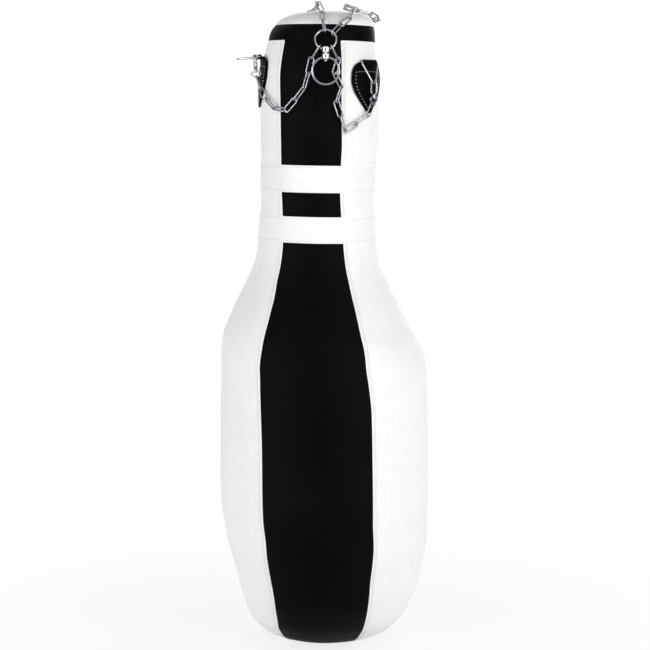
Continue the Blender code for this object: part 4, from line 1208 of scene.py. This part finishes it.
def patch_fold(corner):
    """The leather turned round the delta ring's bar."""
    centre = joint_place("delta_swing_" + corner)
    out = radial(PATCH_AZIMUTHS[corner])
    along = Z.cross(out)
    obj = primitive("fold", bpy.ops.mesh.primitive_circle_add, vertices=32, radius=FOLD_OUTER,
                    fill_type='NOTHING', location=(0, 0, -FOLD_HALF))
    with editing(obj):
        for _ in range(6):
            extrude((0, 0, FOLD_HALF / 3))
        face_outwards(merge=False)
    for vert in obj.data.vertices:
        crumple = 1 + 0.012 * noise.noise(vert.co * 120 + centre * 9)
        vert.co.x *= crumple
        vert.co.y *= crumple
    leather_wall(obj, FOLD_OUTER - FOLD_INNER, 0.0006)
    obj.data.transform(frame_matrix(centre, out, along.cross(out), along))
    return obj


def patch_stitch_line():
    """The stitching's (u, share) pairs: up the left edge, along the fold, down the right."""
    left = []
    for i in range(41):
        share = STITCH_TIP - (STITCH_TIP - STITCH_TOP) * i / 40
        left.append((-max(1 - PATCH_INSET / max(PATCH_HALF(share), 0.2), 0.02), share))
    top = [(u, STITCH_TOP - 0.012 * math.cos(u * math.pi / 2))
           for u in (-0.80 + 1.60 * i / 24 for i in range(1, 24))]
    return left + top + [(-u, share) for u, share in reversed(left)]


class BAG_OT_patches(bpy.types.Operator):
    """Makes the four hanging patches with their folds and grey stitching"""
    bl_idname = "bag.patches"
    bl_label = "Hanging patches"

    def execute(self, context):
        for corner in CORNERS:
            obj = join("patch_%s_leather" % corner, [patch_flap(corner), patch_fold(corner)])
            finish(obj, "black_leather", ("patch_" + corner,), 50)
            run = [patch_point(corner, u, share, PATCH_STITCH_STANDOFF)
                   for u, share in patch_stitch_line()]
            sew("patch_%s_stitching" % corner, [run], "black_leather",
                "grey_sewing_thread", colours().grey_thread, PATCH_STITCH_WEIGHT)
        return {'FINISHED'}


# Metalwork

LINK_HALF_WIDTH = 0.0052    # to the middle of the wire, as the other radii here
LINK_HALF_RUN = 0.01185     # half the straight part of a link
WELD_HALF = 0.0016          # half the length of a link's butt weld
DELTA_WIRE = 0.0043
DELTA_HALF = 0.02425
DELTA_DEPTH = 0.0430
HOOK_WIRE = 0.0038
HOOK_RADIUS = 0.0068
HOOK_LOOP = 0.0280          # length of the hook's jaw and back
HOOK_SHANK = 0.0155         # straight wire before the jaw's turn
GATE_WIRE = 0.0030
BOW_WIRE = 0.0031
BOW_BAR_Z = 0.0340
BOW_TOP_Z = 0.0460
COLLAR_RADIUS = 0.0037
GATHER_RADIUS = 0.0212
CEILING_RADIUS = 0.0267
CEILING_WIRE = 0.0042
BARREL_RADIUS = 0.0080
PIN_RADIUS = 0.0024
PIN_HOLE = 0.0029
PIN_LENGTH = 0.0030
EYE_PLAY = 0.0006           # from a ring's wire to the wall of its eye
EYE_STEP = 0.0022           # between the rows of an eye's wall
UPPER_FOOT_Z = 1.2114
LOWER_FOOT_Z = 1.1966


def link_model():
    """One long link with its butt weld, its width on X and its length on Z."""
    side = ("run", LINK_HALF_RUN - WELD_HALF)
    end = ("turn", LINK_HALF_WIDTH, 180, -Y, 12)
    obj = bend_wire("link_model", sizes().link_wire, 12,
                    Vector((LINK_HALF_WIDTH, 0, -LINK_HALF_RUN)), Z,
                    [side, ("run", 0.0007), ("run", 0.0009), ("run", 0.0009),
                     ("run", 0.0007), side, end, ("run", 2 * LINK_HALF_RUN), end])
    for vert in obj.data.vertices:
        if vert.co.x > 0 and abs(vert.co.z) < 0.0012:
            swell = 1.07 if abs(vert.co.z) < 0.0004 else 1.035
            vert.co.x = LINK_HALF_WIDTH + (vert.co.x - LINK_HALF_WIDTH) * swell
            vert.co.y *= swell
    return obj


class BAG_OT_chains(bpy.types.Operator):
    """Bends one long link and lays a copy of it in every place of the four chains"""
    bl_idname = "bag.chains"
    bl_label = "Chain links"

    def execute(self, context):
        links = sorted(name for name in NODES if name.startswith("link_"))
        lay_copies(link_model(), [(link, "chain_" + link, link_matrix(link))
                                  for link in links], 60)
        return {'FINISHED'}


class BAG_OT_delta_rings(bpy.types.Operator):
    """Bends the delta ring and sets a copy in the fold of every patch"""
    bl_idname = "bag.delta_rings"
    bl_label = "Delta rings"

    def execute(self, context):
        model = bent_triangle("delta_model", DELTA_WIRE, 16, DELTA_HALF, DELTA_DEPTH,
                              corner=0.0040, nose=0.0072)
        lay_copies(model, [("delta_ring_" + corner, "delta_%s_wire" % corner,
                            delta_matrix(corner)) for corner in CORNERS], 60)
        return {'FINISHED'}


def hook_model():
    """Snap hook: jaw with a sprung gate and thumb stud, turned collar, and a bow."""
    straight = HOOK_LOOP - 2 * HOOK_RADIUS
    turn = ("turn", HOOK_RADIUS, 180, Y, 14)
    jaw = bend_wire("jaw", HOOK_WIRE, 14,
                    Vector((HOOK_RADIUS, 0, HOOK_RADIUS + HOOK_SHANK)), -Z,
                    [("run", HOOK_SHANK), turn, ("run", straight), turn], closed=False)
    gate = bend_wire("gate", GATE_WIRE, 12,
                     Vector((HOOK_RADIUS, 0, HOOK_LOOP - HOOK_RADIUS + 0.0006)), -Z,
                     [("run", 0.0030), ("run", straight - 0.0030)], closed=False)
    stud = turned("stud", [(0, 0.0024), (0.0011, 0.0023), (0.0015, 0.0018), (0.0015, 0.0010),
                           (0.0009, 0.0006), (0.0009, -0.0004), (0, -0.0004)], 14)
    stud.data.transform(Matrix.Translation((HOOK_RADIUS, 0, 0.0150))
                        @ Matrix.Rotation(math.radians(90), 4, 'X')
                        @ Matrix.Translation((0, 0, 0.0008)))
    r = COLLAR_RADIUS
    collar = turned("collar", [(0, 0.0352), (r * 0.72, 0.0352), (r, 0.0344), (r, 0.0330),
                               (r * 0.82, 0.0325), (r * 0.82, 0.0305), (r, 0.0300),
                               (r, 0.0282), (r * 0.72, 0.0266), (0, 0.0266)], 24)
    bow = bent_triangle("bow", BOW_WIRE, 12, 0.0105, BOW_TOP_Z - BOW_BAR_Z, corner=0.0030,
                        nose=0.0065)
    bow.data.transform(Matrix.Translation((0, 0, BOW_BAR_Z))
                       @ Matrix.Rotation(math.radians(90), 4, 'Z'))
    return join("hook_model", [jaw, gate, stud, collar, bow])


class BAG_OT_snap_hooks(bpy.types.Operator):
    """Makes the snap hook and hangs a copy on every delta ring"""
    bl_idname = "bag.snap_hooks"
    bl_label = "Snap hooks"

    def execute(self, context):
        lay_copies(hook_model(), [("snap_hook_" + corner, "snap_hook_%s_steel" % corner,
                                   hook_matrix(corner)) for corner in CORNERS], 50)
        return {'FINISHED'}


class BAG_OT_rings(bpy.types.Operator):
    """Bends the gathering ring and the ceiling ring"""
    bl_idname = "bag.rings"
    bl_label = "Gathering and ceiling rings"

    def execute(self, context):
        facing = joint_axis("gathering_ring_turn")
        low, high = solid_box("ceiling_ring")
        for name, middle, normal, up, radius, wire in (
                ("gathering_ring", joint_place("gathering_ring_turn"), facing,
                 facing.cross(X).normalized(), GATHER_RADIUS, sizes().ring_wire),
                ("ceiling_ring", (low + high) / 2, Y, Z, CEILING_RADIUS, CEILING_WIRE)):
            obj = bend_wire(name + "_wire", wire, 16, middle + up * radius,
                            normal.cross(up).normalized(),
                            [("turn", radius, 360, normal, 72)])
            finish(obj, "plated_steel", (name,), 60)
        return {'FINISHED'}


def eye_tool(middle, wire, ring_radius):
    """Cutter for a barrel's eye: a trumpet each way, in which the ring swings freely."""
    rows = [EYE_STEP * step for step in range(-4, 5)]
    profile = [(wire / 2 + EYE_PLAY + x * x / (2 * ring_radius), x) for x in rows]
    tool = turned("eye", [(0, rows[0])] + profile + [(0, rows[-1])], 24)
    tool.data.transform(Matrix.Translation(middle) @ Matrix.Rotation(math.radians(90), 4, 'Y'))
    return tool


class BAG_OT_swivel(bpy.types.Operator):
    """Turns the two barrels of the swivel with their pin and eyes"""
    bl_idname = "bag.swivel"
    bl_label = "Barrel swivel"

    def execute(self, context):
        r = BARREL_RADIUS
        top, foot = solid_box("swivel_upper")[1].z, UPPER_FOOT_Z
        upper = [(0, top), (r * 0.55, top), (r * 0.80, top - 0.0007),
                 (r * 0.95, top - 0.0020), (r, top - 0.0036), (r, foot + 0.0034),
                 (r * 0.96, foot + 0.0018), (r * 0.84, foot + 0.0006), (r * 0.60, foot),
                 (PIN_RADIUS, foot), (PIN_RADIUS, foot - PIN_LENGTH),
                 (0, foot - PIN_LENGTH)]
        top, foot = solid_box("swivel_lower")[1].z, LOWER_FOOT_Z
        lower = [(0, top - 0.0012), (PIN_HOLE, top - 0.0012), (PIN_HOLE, top),
                 (r * 0.62, top), (r * 0.84, top - 0.0006), (r * 0.96, top - 0.0018),
                 (r, top - 0.0034), (r, foot + 0.0060), (r * 0.94, foot + 0.0040),
                 (r * 0.76, foot + 0.0020), (r * 0.50, foot + 0.0004), (0.0026, foot),
                 (0.0024, foot - 0.0014), (0.0014, foot - 0.0021), (0, foot - 0.0022)]
        pin = joint_place("swivel_spin")
        for name, profile, joint, wire, radius in (
                ("swivel_upper", upper, "swivel_swing", sizes().ring_wire, GATHER_RADIUS),
                ("swivel_lower", lower, "ceiling_ring_swing", CEILING_WIRE, CEILING_RADIUS)):
            barrel = turned(name + "_barrel", profile, 40, (pin.x, pin.y))
            eye = eye_tool(joint_place(joint), wire, radius)
            modify(barrel, 'BOOLEAN', operation='DIFFERENCE', solver='EXACT', object=eye)
            bpy.data.objects.remove(eye)
            finish(barrel, "swivel_steel", (name,), 35)
        return {'FINISHED'}


# Stage

CAMERA_BACK = 3.70
CAMERA_HEIGHT = 1.10
CAMERA_PITCH = 6.9
SENSOR_WIDTH = 36.0
FOCAL_PIXELS = 1787.0
PICTURE = 650.0
CENTRE_PIXEL = (324.2, 325.9)
FLOOR_SIZE, FLOOR_DROP = 40, 0.0003
WHITE = (1, 1, 1, 1)
# Name, place, height that it is aimed at, (width, height) and power
SOFTBOXES = (
    ("key", (2.9, -2.4, 1.45), 0.85, (1.6, 2.2), 90),
    ("fill", (-2.8, -2.4, 1.1), 0.75, (1.4, 2.2), 67),
    ("back", (0.5, 3.3, 1.5), 0.7, (2.0, 2.2), 54),
)
# Dark cards that only the plating mirrors, so that its wires read on white leather
DARK_CARDS = (
    ("card_front", (0, -4.1, 1.2), (2.4, 2.2)),
    ("card_left", (-2.4, 0.6, 1.2), (2.6, 2.4)),
    ("card_right", (2.4, 0.6, 1.2), (2.6, 2.4)),
)


def white_ray(tree, place):
    """1 for rays that should see a white background: camera, glossy and transmission."""
    path = node(tree, 'ShaderNodeLightPath', place)
    both = math_node(tree, (place[0] + 1, place[1]), 'MAXIMUM',
                     path.outputs["Is Camera Ray"], path.outputs["Is Glossy Ray"])
    return math_node(tree, (place[0] + 2, place[1]), 'MAXIMUM', both,
                     path.outputs["Is Transmission Ray"])


def wire_floor(tree, shader, where):
    """Pale floor: it keeps the object's shadow and fades to white away from it."""
    speckle = noise_node(tree, (-2, 0), where, 4.0, 3.0)
    tint = colours().floor
    body = blend(tree, (1, 1), speckle.outputs["Fac"], tinted(tint, 0.985), tinted(tint))
    feed(tree, shader.inputs["Base Color"], body)
    shader.inputs["Roughness"].default_value = 0.8
    glow = node(tree, 'ShaderNodeEmission', (5, 2), Strength=1.0, Color=WHITE)
    far = node(tree, 'ShaderNodeVectorMath', (-2, -2), {"operation": 'LENGTH'}, Vector=where)
    fade = spread(tree, (1, -2), far.outputs["Value"], 0.10, 1.0, 0.78, 1.0)
    share = math_node(tree, (4, -2), 'MULTIPLY', white_ray(tree, (0, -3)), fade)
    surface = shader.outputs[0].links[0].to_socket
    mix = node(tree, 'ShaderNodeMixShader', (6, 1), Fac=share)
    feed(tree, mix.inputs[1], shader.outputs[0])
    feed(tree, mix.inputs[2], glow.outputs[0])
    feed(tree, surface, mix.outputs[0])


def wire_card(tree, shader, where):
    """Dull black card."""
    shader.inputs["Base Color"].default_value = (0.012, 0.012, 0.014, 1)
    shader.inputs["Roughness"].default_value = 0.9


def softbox(name, place, aim, size, power):
    light = bpy.data.lights.new(name, 'AREA')
    light.shape = 'RECTANGLE'
    light.size, light.size_y = size
    light.energy = power
    obj = add_object(name, light)
    obj.location = place
    obj.rotation_euler = (Vector((0, 0, aim)) - Vector(place)).to_track_quat(
        '-Z', 'Y').to_euler()


def dark_card(name, place, size):
    clear_selection()
    bpy.ops.mesh.primitive_plane_add(size=1.0, location=place)
    card = bpy.context.object
    card.name = name
    card.scale = (*size, 1)
    card.rotation_euler = (Vector((0, 0, place[2])) - Vector(place)).to_track_quat(
        'Z', 'Y').to_euler()
    card.visible_camera = card.visible_diffuse = False
    card.visible_transmission = card.visible_shadow = False
    card.data.materials.append(material_of("dark_card", wire_card))


def grade_world(tree):
    """White to the camera, and to the object a plain sky that is dimmer overhead."""
    tree.nodes.clear()
    seen = white_ray(tree, (-3, 0))
    where = node(tree, 'ShaderNodeTexCoord', (-4, 3))
    apart = node(tree, 'ShaderNodeSeparateXYZ', (-3, 3), Vector=where.outputs["Generated"])
    dimmed = spread(tree, (-2, 3), apart.outputs["Z"], 0.05, 0.65, 0.98, 0.14)
    unseen = math_node(tree, (-1, 1), 'SUBTRACT', 1.0, seen)
    held = math_node(tree, (0, 2), 'MULTIPLY', dimmed, unseen)
    strength = math_node(tree, (1, 0), 'ADD', held, seen)
    back = node(tree, 'ShaderNodeBackground', (2, 0), Color=WHITE, Strength=strength)
    node(tree, 'ShaderNodeOutputWorld', (4, 0), Surface=back.outputs[0])


class BAG_OT_stage(bpy.types.Operator):
    """Sets the camera at the photograph's place, the floor, the soft lights and the world"""
    bl_idname = "bag.stage"
    bl_label = "Camera, floor and lights"

    def execute(self, context):
        scene = context.scene
        data = bpy.data.cameras.new("photograph_view")
        data.sensor_width = SENSOR_WIDTH
        data.lens = FOCAL_PIXELS / PICTURE * SENSOR_WIDTH
        data.shift_x = (PICTURE / 2 - CENTRE_PIXEL[0]) / PICTURE
        data.shift_y = (CENTRE_PIXEL[1] - PICTURE / 2) / PICTURE
        scene.camera = add_object("photograph_view", data)
        scene.camera.location = (0, -CAMERA_BACK, CAMERA_HEIGHT)
        scene.camera.rotation_euler = (math.radians(90 - CAMERA_PITCH), 0, 0)
        floor = primitive("studio_floor", bpy.ops.mesh.primitive_grid_add, x_subdivisions=4,
                          y_subdivisions=4, size=FLOOR_SIZE, location=(0, 0, -FLOOR_DROP))
        floor.data.materials.append(material_of("pale_floor", wire_floor))
        for row in SOFTBOXES:
            softbox(*row)
        for row in DARK_CARDS:
            dark_card(*row)
        scene.world = scene.world or bpy.data.worlds.new("studio")
        scene.world.use_nodes = True
        grade_world(scene.world.node_tree)
        scene.view_settings.view_transform = 'Standard'
        return {'FINISHED'}


# Panel and run

OPERATORS = (BAG_OT_stage, BAG_OT_cover, BAG_OT_foot, BAG_OT_neck_bands, BAG_OT_welts,
             BAG_OT_seam_stitching, BAG_OT_patches, BAG_OT_delta_rings, BAG_OT_snap_hooks,
             BAG_OT_chains, BAG_OT_rings, BAG_OT_swivel)


class BAG_PT_dressing(bpy.types.Panel):
    """Lists the bag's pieces, sizes and colours"""
    bl_idname = "BAG_PT_dressing"
    bl_label = "Punching bag"
    bl_space_type = 'VIEW_3D'
    bl_region_type = 'UI'
    bl_category = "Bag"

    def draw(self, context):
        layout = self.layout
        for operator in OPERATORS:
            layout.operator(operator.bl_idname, text=operator.bl_label)
        for group in (context.scene.bag_sizes, context.scene.bag_colours):
            box = layout.box()
            for key in group.__annotations__:
                box.prop(group, key)


CLASSES = (BagSizes, BagColours) + OPERATORS + (BAG_PT_dressing,)


def register():
    for cls in CLASSES:
        bpy.utils.register_class(cls)
    bpy.types.Scene.bag_sizes = bpy.props.PointerProperty(type=BagSizes)
    bpy.types.Scene.bag_colours = bpy.props.PointerProperty(type=BagColours)


def unregister():
    del bpy.types.Scene.bag_colours
    del bpy.types.Scene.bag_sizes
    for cls in reversed(CLASSES):
        bpy.utils.unregister_class(cls)


def main():
    register()
    bpy.ops.bag.stage()
    bpy.ops.bag.cover()
    bpy.ops.bag.foot()
    bpy.ops.bag.neck_bands()
    bpy.ops.bag.welts()
    bpy.ops.bag.seam_stitching()
    bpy.ops.bag.patches()
    bpy.ops.bag.delta_rings()
    bpy.ops.bag.snap_hooks()
    bpy.ops.bag.chains()
    bpy.ops.bag.rings()
    bpy.ops.bag.swivel()


if __name__ == "__main__":
    main()
